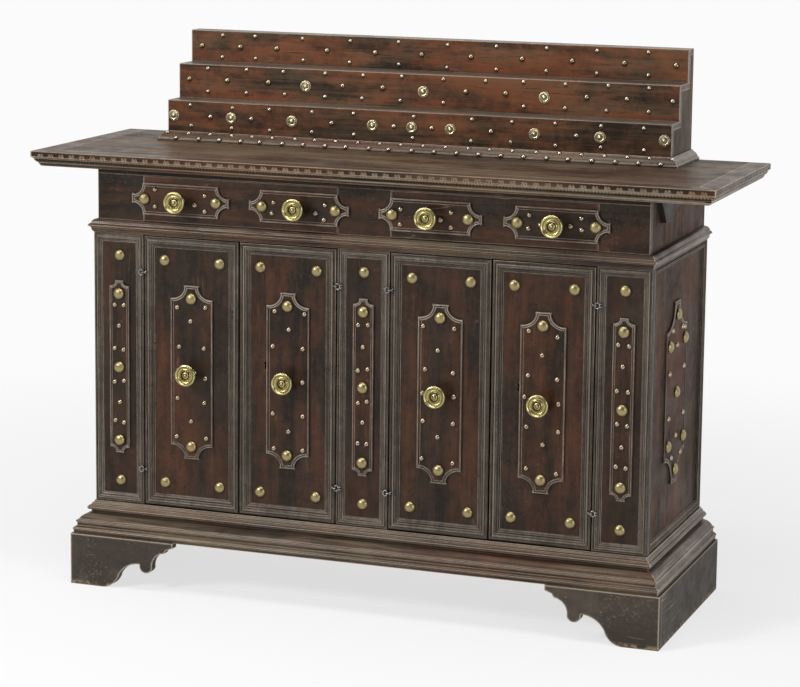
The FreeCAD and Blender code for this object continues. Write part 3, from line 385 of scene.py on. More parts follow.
GRAIN_TURN = {"Z": (0, 0, 0), "X": (0, math.pi / 2, 0), "Y": (math.pi / 2, 0, 0)}
# Width of the steps by which a border moulding's lines are set out from its field
BORDER_STEP = 0.0012


def new_material(name):
    """An empty material: its nodes, its shader and the object's own coordinates."""
    material = bpy.data.materials.new(name)
    material.use_nodes = True
    tree = material.node_tree
    return material, tree, tree.nodes["Principled BSDF"], tree.nodes.new("ShaderNodeTexCoord").outputs["Object"]


def surface(tree, shader, base, rough, height, strength, distance):
    """Links the colour, the roughness and the relief of a material."""
    relief = put(tree, "ShaderNodeBump", {"Strength": strength, "Distance": distance, "Height": height})
    for name, socket in (("Base Color", base), ("Roughness", rough), ("Normal", relief.outputs[0])):
        tree.links.new(socket, shader.inputs[name])


def round_case(tree, x, y, z, reach, front):
    """A vector whose grain runs along X on the front and along Y on the sides, and that run alone."""
    across = maths(tree, "SUBTRACT", maths(tree, "ABSOLUTE", x), reach)
    ahead = maths(tree, "SUBTRACT", front, y)
    on_side = maths(tree, "GREATER_THAN", across, ahead)
    run = scaled(tree, maths(tree, "SUBTRACT", y, x), on_side, x)
    away = maths(tree, "MAXIMUM", across, ahead)
    return put(tree, "ShaderNodeCombineXYZ", {"X": away, "Y": z, "Z": run}).outputs[0], run


def wood(
    name, along="Z", red=0.4, tone=1.0, wear=0.45, gloss=0.3, bare=0.0, shift=0.0, dust=0.12, scratch=0.35, gild=0.0,
    sheen=0.34, lines=0.4, veil=0.0, grit=0.0, top_highlight=0.0, right_highlight=0.0, rub=None, radius=0.0024, border=None,
    around=None, upper=None, nicks=False,
):
    """A waxed walnut surface with its grain along one axis, or around the case."""
    material, tree, shader, place = new_material(name)
    palette = colours()
    dark, worn_and_highlight = palette.dark, palette.worn_and_highlight
    corners = put(tree, "ShaderNodeSeparateXYZ", {"Vector": place}).outputs
    if around:
        (vector, run), turn = round_case(tree, *corners, *around), (0, 0, 0)
    else:
        vector, turn = place, GRAIN_TURN[along]
    start = (shift, shift * 0.7, shift * 1.3)
    turned = put(tree, "ShaderNodeMapping", {"Vector": vector, "Rotation": turn, "Location": start}).outputs[0]
    figure = effect(tree, figure_group, Vector=turned)
    rubbed = effect(tree, wear_and_corner_shade_group, Vector=place, Amount=wear, Radius=radius)
    marks = effect(tree, scratch_group, Vector=turned)["Marks"]
    base = blend_colour(tree, figure["Streak"], [c * tone for c in dark], [c * tone for c in palette.brown])
    warm = times(tree, figure["Patch"], red, clamp=True)
    # The edge lines are partly real wear and partly painted highlight along arrises; lines sets their strength.
    edge_wear_and_highlight = lines
    if border:
        axis, field = border[0], abs(border[1])
        away = maths(tree, "ABSOLUTE", corners[axis])
        moulded = ramp(tree, away, field, field + BORDER_STEP, "LINEAR")
        warm = times(tree, warm, scaled(tree, moulded, -0.85, 1.0))
        edge_wear_and_highlight = scaled(tree, moulded, lines * 0.4, lines * 0.3)
    base = coat(tree, base, warm, palette.red, tone)
    if border:
        # Painted shade in the low band of the border moulding, and a painted highlight along its crest.
        groove_shade = ramp(tree, away, field + BORDER_STEP * 4.7, field + BORDER_STEP * 3.9)
        base = coat(tree, base, times(tree, times(tree, moulded, groove_shade), 0.6), dark, 0.6)
        crest = ramp(tree, away, field + BORDER_STEP * 5.2, field + BORDER_STEP * 5.7)
        base = coat(tree, base, times(tree, crest, scaled(tree, figure["Glow"], 0.3, 0.2)), worn_and_highlight, 0.8)
    if gild:
        base = coat(tree, base, times(tree, figure["Glow"], gild, clamp=True), palette.bare, 0.45)
    base = coat(tree, base, times(tree, figure["Pores"], 0.6), dark, 0.35)
    if veil:
        base = coat(tree, base, veil, (0.12, 0.106, 0.088))
    # Painted highlight: faces turned up and faces turned to the right are lightened, broken up by the figure.
    if top_highlight:
        normal = tree.nodes.new("ShaderNodeNewGeometry").outputs["True Normal"]
        facing = put(tree, "ShaderNodeSeparateXYZ", {"Vector": normal}).outputs
        up = times(tree, ramp(tree, facing["Z"], 0.15, 0.8), top_highlight)
        right = times(tree, ramp(tree, facing["X"], 0.2, 0.7), right_highlight)
        faces = times(tree, maths(tree, "MAXIMUM", up, right), scaled(tree, figure["Glow"], 0.75, 0.25))
        base = coat(tree, base, faces, worn_and_highlight, 0.7)
    if grit:
        grains = ramp(tree, speckle(tree, place, 150.0, 5.0, 0.75), 0.52, 0.68)
        grains = times(tree, grains, ramp(tree, speckle(tree, place, 9.0, 4.0, 0.6), 0.4, 0.68))
        base = coat(tree, base, times(tree, grains, grit), worn_and_highlight, 0.75)
    haze = ramp(tree, speckle(tree, place, 5.0, 5.0, 0.7), 0.45, 0.78)
    base = coat(tree, base, times(tree, haze, dust), worn_and_highlight, 0.35)
    base = coat(tree, base, times(tree, marks, scratch), worn_and_highlight, 0.6)
    # Edge lines: rubbed wear and painted highlight on every arris.
    base = coat(tree, base, times(tree, rubbed["Edge"], edge_wear_and_highlight), rub or worn_and_highlight, 1.0 if rub else 0.9)
    base = coat(tree, base, rubbed["Wear"], worn_and_highlight)
    # Painted highlight: everything above a height is lightened, so the upper ends of the lips read as lit.
    if upper:
        low, high, share = upper
        base = coat(tree, base, times(tree, ramp(tree, corners["Z"], low, high), share), worn_and_highlight, 0.8)
    if bare:
        chips = speckle(tree, place, 70.0, 3.0, 0.6)
        sole = times(tree, ramp(tree, corners["Z"], 0.014, 0.0), ramp(tree, chips, 0.45, 0.56))
        raw = maths(tree, "MAXIMUM", sole, times(tree, rubbed["Edge"], ramp(tree, chips, 0.58, 0.64)))
        base = coat(tree, base, times(tree, raw, bare, clamp=True), palette.bare)
    dents, waves = speckle(tree, place, 34.0, 4.0, 0.55), speckle(tree, turned, 9.0, 2.0, 0.5)
    layers = [(figure["Pores"], -0.25), (dents, 0.6), (waves, 1.1), (figure["Cracks"], -1.0)]
    layers += [(marks, -0.3), (figure["Streak"], 0.15)]
    if nicks:
        tooth = maths(tree, "SUBTRACT", maths(tree, "FRACT", times(tree, run, NICKS_PER_METRE)), 0.5)
        band = maths(tree, "ABSOLUTE", maths(tree, "SUBTRACT", corners["Z"], NICK_LEVEL))
        nick = times(tree, ramp(tree, maths(tree, "ABSOLUTE", tooth), 0.16, 0.32), ramp(tree, band, 0.0034, 0.0022))
        # Painted shade: each nick is darkened in its cut, besides its bump.
        base = coat(tree, base, times(tree, nick, 0.75), dark, 0.35)
        layers.append((nick, -1.6))
    # Painted shade: corners and hollows found by ambient occlusion are darkened towards the dark walnut.
    base = coat(tree, base, times(tree, rubbed["Corner"], 0.95), dark, 0.3)
    base = coat(tree, base, figure["Cracks"], (0.002, 0.0015, 0.001))
    smear = ramp(tree, speckle(tree, place, 16.0, 5.0, 0.7), 0.25, 0.8)
    rough = scaled(tree, marks, 0.2, scaled(tree, smear, 0.24, gloss))
    height = 0.0
    for layer, depth in layers:
        height = scaled(tree, layer, depth, height)
    shader.inputs["Specular IOR Level"].default_value = sheen
    shader.inputs["Specular Tint"].default_value = (1.0, 0.9, 0.8, 1)
    surface(tree, shader, base, rough, height, 0.6, 0.0013)
    return material


def raw_wood(name, along="Z"):
    """Plain, dusty boards inside and at the back."""
    material, tree, shader, place = new_material(name)
    turned = put(tree, "ShaderNodeMapping", {"Vector": place, "Rotation": GRAIN_TURN[along]}).outputs[0]
    figure = effect(tree, figure_group, Vector=turned)
    base = blend_colour(tree, figure["Streak"], (0.085, 0.05, 0.026), (0.2, 0.125, 0.068))
    base = coat(tree, base, times(tree, figure["Patch"], 0.5), (0.06, 0.035, 0.02))
    base = coat(tree, base, figure["Cracks"], (0.01, 0.006, 0.004))
    surface(tree, shader, base, scaled(tree, figure["Patch"], 0.12, 0.7), figure["Streak"], 0.5, 0.001)
    return material


def metal(name, colour, rough, stain, dark, dent=0.3, dent_scale=300.0, reach=0.006):
    """Worn metal with dark dirt and painted shade in its hollows."""
    material, tree, shader, place = new_material(name)
    cloud = ramp(tree, speckle(tree, place, 120.0, 4.0, 0.6), 0.4, 0.68)
    base = blend_colour(tree, times(tree, cloud, stain), tuple(colour), dark)
    # Dirt and painted shade: surfaces near other surfaces, within the reach, darken towards the dark colour.
    hollow_dirt_and_shade = put(tree, "ShaderNodeAmbientOcclusion", {"Distance": reach}, samples=12)
    base = coat(tree, base, times(tree, ramp(tree, hollow_dirt_and_shade.outputs["AO"], 0.94, 0.4), 0.9), dark)
    shader.inputs["Metallic"].default_value = 1.0
    dents = speckle(tree, place, dent_scale, 3.0, 0.55)
    surface(tree, shader, base, scaled(tree, cloud, 0.22, rough), dents, dent, 0.0004)
    return material


# Meshes


def islands(name):
    """The low and high corners of each separate piece in a node."""
    mesh = bmesh.new()
    mesh.from_mesh(frame["nodes"][name].data)
    bmesh.ops.remove_doubles(mesh, verts=mesh.verts, dist=1e-6)
    left, found = set(mesh.verts), []
    while left:
        front = [left.pop()]
        piece = list(front)
        while front:
            for edge in front.pop().link_edges:
                for vertex in edge.verts:
                    if vertex in left:
                        left.discard(vertex)
                        front.append(vertex)
                        piece.append(vertex)
        low = Vector([min(v.co[i] for v in piece) for i in range(3)])
        high = Vector([max(v.co[i] for v in piece) for i in range(3)])
        found.append((low, high))
    mesh.free()
    return sorted(found, key=lambda b: tuple(round(v, 4) for v in (*b[0], *b[1])))


def seats(name):
    """Where the round pieces of a node stand, with their outward way and scale; then their radius and rise."""
    spots, measures = [], []
    for low, high in islands(name):
        size, middle = high - low, (low + high) / 2
        sideways = size.x < size.z * 0.8 and abs(middle.x) > SIDE_REACH
        axis = 0 if sideways else 1
        sign = 1 if sideways and middle.x > 0 else -1
        middle[axis] = (high if sign < 0 else low)[axis]
        spots.append((middle, Vector((sign, 0, 0)) if sideways else FRONT, 1.0))
        measures.append((max(size.y if sideways else size.x, size.z) / 2, size[axis]))
    return spots, *measures[0]


def on_front(low, high, points):
    """Spots sunk a little into a front, from points in millimetres about its middle."""
    x0, z0 = (low[0] + high[0]) / 2, (low[2] + high[2]) / 2
    return [(Vector((x0 + x * MM, low[1] + STUD_SINK, z0 + z * MM)), FRONT, 1.0) for x, z in points]


def begin(name, kind, **settings):
    """Adds a primitive, alone selected."""
    bpy.ops.object.select_all(action="DESELECT")
    getattr(bpy.ops.mesh, f"primitive_{kind}_add")(**settings)
    item = bpy.context.object
    item.name = item.data.name = name
    return item


def pick(items):
    """Selects pieces, the first one active."""
    bpy.ops.object.select_all(action="DESELECT")
    for item in items:
        item.select_set(True)
    bpy.context.view_layer.objects.active = items[0]


def linked(name, data):
    """A new object in the scene."""
    item = bpy.data.objects.new(name, data)
    bpy.context.scene.collection.objects.link(item)
    return item


def joined(items, name):
    """Makes one piece of several."""
    pick(items)
    if len(items) > 1:
        bpy.ops.object.join()
    bpy.context.object.name = name
    return bpy.context.object


def edit_all():
    """Opens the active piece for editing, all of it selected."""
    bpy.ops.object.mode_set(mode="EDIT")
    bpy.ops.mesh.select_all(action="SELECT")


def paint(item, *materials):
    """Gives a piece these materials alone."""
    item.data.materials.clear()
    for material in materials:
        item.data.materials.append(material)


def cut_away(item, cutter, title):
    """Cuts one piece out of another."""
    cut = item.modifiers.new(title, "BOOLEAN")
    cut.object, cut.solver = cutter, "EXACT"
    pick([item])
    bpy.ops.object.modifier_apply(modifier=cut.name)
    bpy.data.objects.remove(cutter)


def complete(item, body, material, replaces=(), angle=0.6):
    """Applies a piece's place, turns its faces outward, smooths it and hands it to its body."""
    pick([item])
    bpy.ops.object.transform_apply(location=True, rotation=True, scale=True)
    edit_all()
    bpy.ops.mesh.normals_make_consistent(inside=False)
    bpy.ops.object.mode_set(mode="OBJECT")
    if material:
        paint(item, material)
    bpy.ops.object.shade_smooth_by_angle(angle=angle)
    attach(item, body)
    for target in replaces:
        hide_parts(target)


def turned_model(name, profile, radius, height, steps):
    """A turned piece pointing up: a disc extruded and scaled ring by ring."""
    item = begin(name, "circle", vertices=steps, radius=radius * profile[0][0], fill_type="NGON")
    edit_all()
    for (before, low), (share, up) in zip(profile, profile[1:]):
        bpy.ops.mesh.extrude_region_move(TRANSFORM_OT_translate={"value": (0, 0, (up - low) * height)})
        if share:
            bpy.ops.transform.resize(value=(share / before, share / before, 1), center_override=(0, 0, 0))
        else:
            bpy.ops.mesh.merge(type="CENTER")
    bpy.ops.object.mode_set(mode="OBJECT")
    return item


def set_out(model, name, spots, wobble):
    """Copies a model to each spot, facing outward, and joins the copies."""
    copies = []
    for index, (spot, outward, scale) in enumerate(spots):
        chance = random.Random(index * 7 + len(name))
        item = linked(name, model.data.copy())
        turn = Vector((0, 0, 1)).rotation_difference(outward).to_matrix().to_4x4()
        for axis in "XY":
            turn = turn @ Matrix.Rotation(chance.uniform(-wobble, wobble), 4, axis)
        spin = Matrix.Rotation(chance.uniform(0, 6.28), 4, "Z")
        item.matrix_world = Matrix.Translation(spot) @ turn @ spin @ Matrix.Diagonal((scale, scale, scale, 1))
        copies.append(item)
    bpy.context.view_layer.update()
    bpy.data.objects.remove(model)
    return joined(copies, name)


def stud_field(name, spots, radius, rise, steps, body, material, wobble=0.1, replaces=()):
    """Domed studs on their spots."""
    item = set_out(turned_model("Stud", DOME, radius, rise, steps), name, spots, wobble)
    complete(item, body, material, replaces, angle=0.75)


def drawn(name, curve):
    """Turns a curve into a mesh piece."""
    pick([linked(name, curve)])
    bpy.ops.object.convert(target="MESH")
    return bpy.context.object


def swept(name, paths, radius, closed):
    """Round beads along paths: each path has points and the share of the radius at each."""
    curve = bpy.data.curves.new(name, "CURVE")
    curve.dimensions = "3D"
    curve.bevel_depth = radius
    curve.bevel_resolution = 3
    curve.use_fill_caps = True
    for points, shares in paths:
        spline = curve.splines.new("POLY")
        spline.points.add(len(points) - 1)
        for target, point, share in zip(spline.points, points, shares):
            target.co = (*point, 1)
            target.radius = share
        spline.use_cyclic_u = closed
    return drawn(name, curve)


def slab(name, ring, thickness, edge):
    """A board sawn to an outline, with softened edges, lying on its back."""
    curve = bpy.data.curves.new(name, "CURVE")
    curve.dimensions = "2D"
    curve.fill_mode = "BOTH"
    curve.extrude = thickness / 2 - edge
    curve.bevel_depth = edge
    curve.bevel_resolution = 1
    curve.offset = -edge
    spline = curve.splines.new("POLY")
    spline.points.add(len(ring) - 1)
    for target, (x, y) in zip(spline.points, ring):
        target.co = (x, y, 0, 1)
    spline.use_cyclic_u = True
    item = drawn(name, curve)
    item.location.z = thickness / 2
    bpy.ops.object.transform_apply(location=True, rotation=True, scale=True)
    return item


def plaque_end(length, width, tab, shoulder, ear, steps=8):
    """One end of a cartouche, from its left shoulder over the tab to its right one."""
    half, side, lip = length / 2, width / 2, tab / 2
    side_in, neck = side - ear, lip - ear * 0.6
    arc = []
    for step in range(steps + 1):
        angle = math.pi / 2 * step / steps
        x = side_in - (side_in - neck) * math.cos(angle)
        arc.append((x, half - ear - (shoulder - 2 * ear) * math.sin(angle)))
    right = [(lip, half), (lip, half - ear), *arc, (side, half - shoulder + ear), (side, half - shoulder)]
    return [(-x, z) for x, z in reversed(right)] + right


def inset_ring(ring, distance, closed=True):
    """An outline moved inwards, with its corners kept."""
    count, moved = len(ring), []
    area = sum(ring[i - 1][0] * ring[i][1] - ring[i][0] * ring[i - 1][1] for i in range(count))
    side = 1 if area > 0 else -1
    for index in range(count):
        here = Vector(ring[index])
        before = Vector(ring[index - 1]) if index or closed else here
        after = Vector(ring[(index + 1) % count]) if index + 1 < count or closed else here
        ways = [w.normalized() for w in (here - before, after - here) if w.length > 1e-9]
        normals = [Vector((-w.y, w.x)) * side for w in ways]
        both = sum(normals, Vector((0, 0))) / len(normals)
        moved.append(tuple(here + both * distance / max(both.length_squared, 0.45)))
    return moved


def panel_front(name, low, high, axis, outward, width, rise):
    """A board whose outer face is inset ring by ring into a mitred border moulding round a flat field."""
    item = begin(name, "cube", size=1, location=(low + high) / 2, scale=high - low)
    bpy.ops.object.transform_apply(location=True, rotation=True, scale=True)
    bpy.ops.object.mode_set(mode="EDIT")
    bpy.ops.mesh.select_mode(type="FACE")
    bpy.ops.mesh.select_all(action="DESELECT")
    bpy.ops.object.mode_set(mode="OBJECT")
    for face in item.data.polygons:
        face.select = face.normal[axis] * outward > 0.9
    bpy.ops.object.mode_set(mode="EDIT")
    for (across, up), (next_across, next_up) in zip(BORDER, BORDER[1:]):
        bpy.ops.mesh.inset(thickness=(next_across - across) * width, depth=(next_up - up) * rise)
    bpy.ops.object.mode_set(mode="OBJECT")
    return item


def soften(item, width, angle=0.5):
    """Rounds the edges of a piece of wood."""
    bevel = item.modifiers.new("Rounded edges", "BEVEL")
    bevel.width = width
    bevel.segments = 2
    bevel.limit_method = "ANGLE"
    bevel.angle_limit = angle


def dress(name, material, rounding):
    """Gives a node its material and rounded edges."""
    item = frame["nodes"][name]
    paint(item, material)
    soften(item, rounding)


def movers(door_part, drawer_part):
    """The nodes of one part of the doors and drawers, each with its body."""
    pairs = [(f"door_{n}_{door_part}", f"door_{n}") for n in DOORS]
    return pairs + [(f"drawer_{s}_{drawer_part}", f"drawer_{s}") for s in SIDES]


# Boards with rounded edges: node, name of the wood, grain (none: around the case), share of the rounding, look
BOARDS = (
    ("tabletop", "Top board", "X", 1.0, dict(
        red=0.4, tone=1.9, gloss=0.32, dust=0.5, scratch=1.0, gild=0.6, sheen=0.06, grit=0.15,
    )),
    ("frieze_frame", "Frieze", None, 1.0, dict(
        red=1.0, tone=0.85, shift=3.0, gloss=0.3, sheen=0.24, dust=0.08, radius=0.003, lines=0.6, wear=0.85, grit=0.2,
    )),
    ("waist_moulding", "Waist", None, 0.6, dict(
        red=1.3, tone=0.95, wear=0.9, gloss=0.26, shift=1.0, gild=0.4, lines=0.75, scratch=0.12, top_highlight=0.05,
        right_highlight=0.6, sheen=0.18, radius=0.003,
    )),
    ("base_moulding", "Base", None, 1.0, dict(
        red=1.1, tone=0.9, wear=0.95, gloss=0.26, shift=2.0, gild=0.5, lines=0.85, scratch=0.12, grit=0.2,
        top_highlight=0.12, right_highlight=0.8, sheen=0.2, radius=0.0038,
    )),
    ("foot_boards", "Feet", None, 1.0, dict(
        red=0.0, wear=0.95, gloss=0.5, bare=1.0, dust=0.5, scratch=1.0, lines=1.0, veil=0.26, sheen=0.2, grit=0.4,
        radius=0.0065,
    )),
    ("top_battens", "Battens", "Y", 1.0, dict(red=0.2, wear=0.4, gloss=0.45)),
    ("stand_risers", "Risers", "X", 1.0, dict(
        red=1.5, tone=1.65, wear=0.8, gloss=0.22, shift=7.0, gild=0.25, lines=0.9, scratch=0.15, sheen=0.15,
        dust=0.05, radius=0.0045,
    )),
    ("stand_treads", "Treads", "X", 1.0, dict(
        red=0.6, tone=1.6, wear=0.8, gloss=0.34, shift=8.0, lines=0.9, veil=0.1, top_highlight=0.25, radius=0.0045,
    )),
    ("stand_sides", "Stand sides", "Z", 1.0, dict(
        red=0.5, tone=1.8, wear=0.8, gloss=0.5, dust=0.8, lines=0.9, sheen=0.12, veil=0.24, grit=0.3, top_highlight=0.3,
        right_highlight=0.25,
    )),
    ("stand_moulding", "Stand moulding", None, 0.7, dict(
        red=0.8, tone=1.1, wear=0.95, gloss=0.3, gild=0.3, lines=0.8, top_highlight=0.1, right_highlight=0.8, radius=0.003,
    )),
)
INNER_BOARDS = (
    "cupboard_floor", "shelves", "dust_board", "drawer_guides", "stand_back", "drawer_left_box", "drawer_right_box",
)
# Rounding of the moulded panels' arrises
PANEL_ROUND = 0.0008
# What the doors' and the pilasters' wood have in common
MOULDED = dict(tone=0.92, gloss=0.24, sheen=0.26, lines=0.65, top_highlight=0.45, radius=0.0014, grit=0.1)


class SIDEBOARD_OT_wood(bpy.types.Operator):
    """Give every board its walnut and rounded edges"""

    bl_idname = "sideboard.wood"
    bl_label = "Wood"

    def execute(self, context):
        edge = sizes().edge_round
        for node, title, along, share, look in BOARDS:
            low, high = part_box(node)
            around = None if along else (high[0], low[1])
            dress(node, wood(title, along, around=around, **look), edge * share)
        inner, upright = raw_wood("Inner boards", "X"), raw_wood("Back boards", "Z")
        for name in INNER_BOARDS:
            dress(name, inner, edge)
        for name in ("centre_partition", "back_boards"):
            dress(name, upright, edge)
        look = dict(red=1.1, wear=0.6, gloss=0.26, sheen=0.26, dust=0.06, lines=0.7)
        for index, side in enumerate(SIDES):
            dress(f"drawer_{side}_front", wood(f"Drawer {side}", "X", shift=20.0 + index, **look), edge)
        return {"FINISHED"}


class SIDEBOARD_OT_panels(bpy.types.Operator):
    """Work the moulded borders of the doors, pilasters and sides"""

    bl_idname = "sideboard.panels"
    bl_label = "Moulded panels"

    def execute(self, context):
        size = sizes()
        rise = size.border_rise
        step_in = 1 - BORDER[0][1]
        for number in DOORS:
            name = f"door_{number}_leaf"
            low, high = (Vector(v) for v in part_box(name))
            field = low.y + rise
            low.y += rise * step_in
            item = panel_front(name, low, high, 1, -1, size.border_width, rise)
            if number in KEYHOLES:
                self.keyhole(item, low.y, *KEYHOLES[number])
            material = wood(
                f"Door {number}", red=0.95, wear=0.85, dust=0.06, scratch=0.2, shift=10.0 + number * 1.7,
                border=("Y", field), **MOULDED,
            )
            self.mould(item, f"door_{number}", material, "walnut_red", name)
        posts = []
        for index, (low, high) in enumerate(islands("pilasters")):
            low.y += rise * step_in
            posts.append(panel_front(f"Pilaster {index}", low, high, 1, -1, size.pilaster_border, rise))
        material = wood(
            "Pilasters", red=0.5, wear=0.9, dust=0.08, scratch=0.15, shift=5.0, border=("Y", field), **MOULDED
        )
        self.mould(joined(posts, "pilasters_moulded"), "carcass", material, "walnut", "pilasters")
        boards = []
        levels = [corner[2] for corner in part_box("pilasters")]
        for board in islands("side_boards"):
            sign = 1 if board[1].x > 0 else -1
            outer, inner = (1, 0) if sign > 0 else (0, 1)
            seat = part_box("side_cartouches")[outer][0] - sign * CARTOUCHE_RISE
            reach = abs(board[outer].x - seat)
            rim = [corner.copy() for corner in board]
            board[outer].x = seat
            middle, span = (board[0] + board[1]) / 2, board[1] - board[0]
            boards.append(begin("Side board", "cube", size=1, location=middle, scale=span))
            rim[0].z, rim[1].z = levels
            rim[inner].x = seat - sign * MM
            rim[outer].x -= sign * reach * step_in
            boards.append(panel_front("Side border", *rim, 0, sign, size.side_border, reach - 0.0002))
        material = wood(
            "Sides", red=0.8, tone=1.9, wear=0.9, gloss=0.5, dust=0.5, scratch=0.8, lines=0.9, sheen=0.12, top_highlight=0.3,
            radius=0.0015, grit=0.15, border=("X", seat),
        )
        self.mould(joined(boards, "side_boards_moulded"), "carcass", material, "walnut", "side_boards")
        return {"FINISHED"}

    def mould(self, item, body, material, slot, node):
        """Softens the arrises of a moulded piece and completes it."""
        soften(item, PANEL_ROUND, 1.0)
        complete(item, body, material, [node], angle=0.55)

    def keyhole(self, item, front, x, z):
        """Cuts a round hole over a slot."""
        upper = begin(
            "Keyhole round", "cylinder", vertices=20, radius=0.0042, depth=0.03, location=(x, front, z + 0.0065),
            rotation=(math.pi / 2, 0, 0),
        )
        lower = begin(
            "Keyhole slot", "cone", vertices=4, radius1=0.005, radius2=0.0032, depth=0.018,
            location=(x, front, z - 0.001),
        )
        lower.scale = (1, 5, 1)
        cut_away(item, upper, "Keyhole")
        cut_away(item, lower, "Keyhole")


class SIDEBOARD_OT_cartouches(bpy.types.Operator):
    """Saw the cartouches and lay their beads round them"""

    bl_idname = "sideboard.cartouches"
    bl_label = "Cartouches"

    def execute(self, context):
        rim = sizes().rim_width
        # Node, body, width of the tab, size of the beads, grain, warmth
        jobs = [(f"door_{n}_cartouche", f"door_{n}", 0.35, 1.0, "Z", 0.9) for n in DOORS]
        jobs.append(("pilaster_cartouches", "carcass", 0.4, 0.72, "Z", 0.75))
        jobs.append(("side_cartouches", "carcass", 0.27, 1.25, "Z", 0.75))
        jobs += [(f"drawer_{s}_cartouches", f"drawer_{s}", 0.3, 0.9, "X", 0.6) for s in SIDES]
        # The lips higher on the case get a painted highlight from upper.
        lip = wood(
            "Cartouche lips", red=0.2, tone=1.6, wear=1.0, gloss=0.16, dust=0.5, lines=0.5, sheen=0.7,
            upper=(0.42, 0.6, 0.8),
        )
        for seed, (name, body, tab, scale, along, red) in enumerate(jobs):
            plates, ends, lines = [], [], []
            for low, high in islands(name):
                turn, length, width, rise = self.lie(low, high, along)
                shoulder = DRAWER_SHOULDER if along == "X" else width * (1 - tab) / 2
                ear = EAR * (0.6 if scale < 0.8 else 1)
                top = plaque_end(length, width, width * tab, shoulder, ear)
                thick = rise - BEAD_RISE
                plate = slab("Plaque", top + [(-x, -z) for x, z in top], thick, 0.0006)
                plate.matrix_world = turn
                plates.append(plate)

                def lift(points, up):
                    return [turn @ Vector((x, z, up)) for x, z in points]

                crest = top[len(top) // 2:]
                crest = [(crest[2][0], crest[0][1]), *crest[3:]]
                crest = [(-x, z) for x, z in reversed(crest)] + crest
                around = crest + [(-x, -z) for x, z in crest]
                for inset, share, sink in ((0.0017, 0.62, 0.0003), (rim, 0.42, 0.0004)):
                    ring = inset_ring(around, inset * scale)
                    lines.append((lift(ring, thick - sink), [share] * len(ring)))
                for flip in (1, -1):
                    for inset, share in LIP_BEADS:
                        end = inset_ring([(x * flip, z * flip) for x, z in crest], inset * scale, closed=False)
                        waver = [0.9 + 0.18 * noise.noise(Vector((k * 0.7, seed, flip))) for k in range(len(end))]
                        ends.append((lift(end, thick + 0.0001), [share * scale * w for w in waver]))
            look = dict(gloss=0.24, sheen=0.26, dust=0.06, tone=0.95)
            if name == "side_cartouches":
                look = dict(gloss=0.5, sheen=0.12, dust=0.4, tone=1.9)
            material = wood(f"Cartouche {seed}", along, red=red * 1.25, wear=0.7, shift=30.0 + seed * 1.3, **look)
            complete(joined(plates, f"{name}_sawn"), body, material, [name], angle=0.5)
            material = wood(
                f"Lines {seed}", along, red=0.8, tone=1.7, wear=0.9, gloss=0.22, dust=0.2, lines=0.4
            )
            complete(swept(f"{name}_lines", lines, 0.0017, True), body, material, angle=0.9)
            complete(swept(f"{name}_lips", ends, 0.002, False), body, lip, angle=0.9)
        return {"FINISHED"}

    def lie(self, low, high, along):
        """The turn from a cartouche's own plane to its place, and its length, width and rise."""
        size, (x, y, z) = high - low, (low + high) / 2
        if size.x < size.z * 0.1 and abs(x) > SIDE_REACH:
            sign, seat = (1, low.x) if x > 0 else (-1, high.x)
            return Matrix(((0, 0, sign, seat), (sign, 0, 0, y), (0, 1, 0, z), (0, 0, 0, 1))), size.z, size.y, size.x
        if along == "X":
            return Matrix(((0, -1, 0, x), (0, 0, -1, high.y), (1, 0, 0, z), (0, 0, 0, 1))), size.x, size.z, size.y
        return Matrix(((1, 0, 0, x), (0, 0, -1, high.y), (0, 1, 0, z), (0, 0, 0, 1))), size.z, size.x, size.y


class SIDEBOARD_OT_large_studs(bpy.types.Operator):
    """Make the large domed brass studs"""

    bl_idname = "sideboard.large_studs"
    bl_label = "Large studs"

    def execute(self, context):
        # The wide reach spreads painted shade from each stud's seat up over its dome.
        brass = metal("Large stud brass", colours().brass, 0.34, 0.2, (0.13, 0.095, 0.045), 0.05, 200.0, reach=0.022)
        for name, body in [("body_studs", "carcass"), *movers("studs", "studs")]:
            spots, radius, rise = seats(name)
            stud_field(f"{name}_domed", spots, radius, rise, sizes().turning_steps, body, brass, 0.05, [name])
        return {"FINISHED"}


class SIDEBOARD_OT_knobs(bpy.types.Operator):
    """Turn the brass knobs"""

    bl_idname = "sideboard.knobs"
    bl_label = "Knobs"

    def execute(self, context):
        gold = metal("Knob brass", colours().gold, 0.22, 0.03, (0.2, 0.15, 0.065), 0.01, 60.0, reach=0.005)
        for name, body in movers("knob", "knobs"):
            spots, radius, rise = seats(name)
            item = set_out(turned_model("Knob", KNOB, radius, rise, 64), f"{name}_turned", spots, 0.02)
            complete(item, body, gold, [name], angle=0.8)
        return {"FINISHED"}


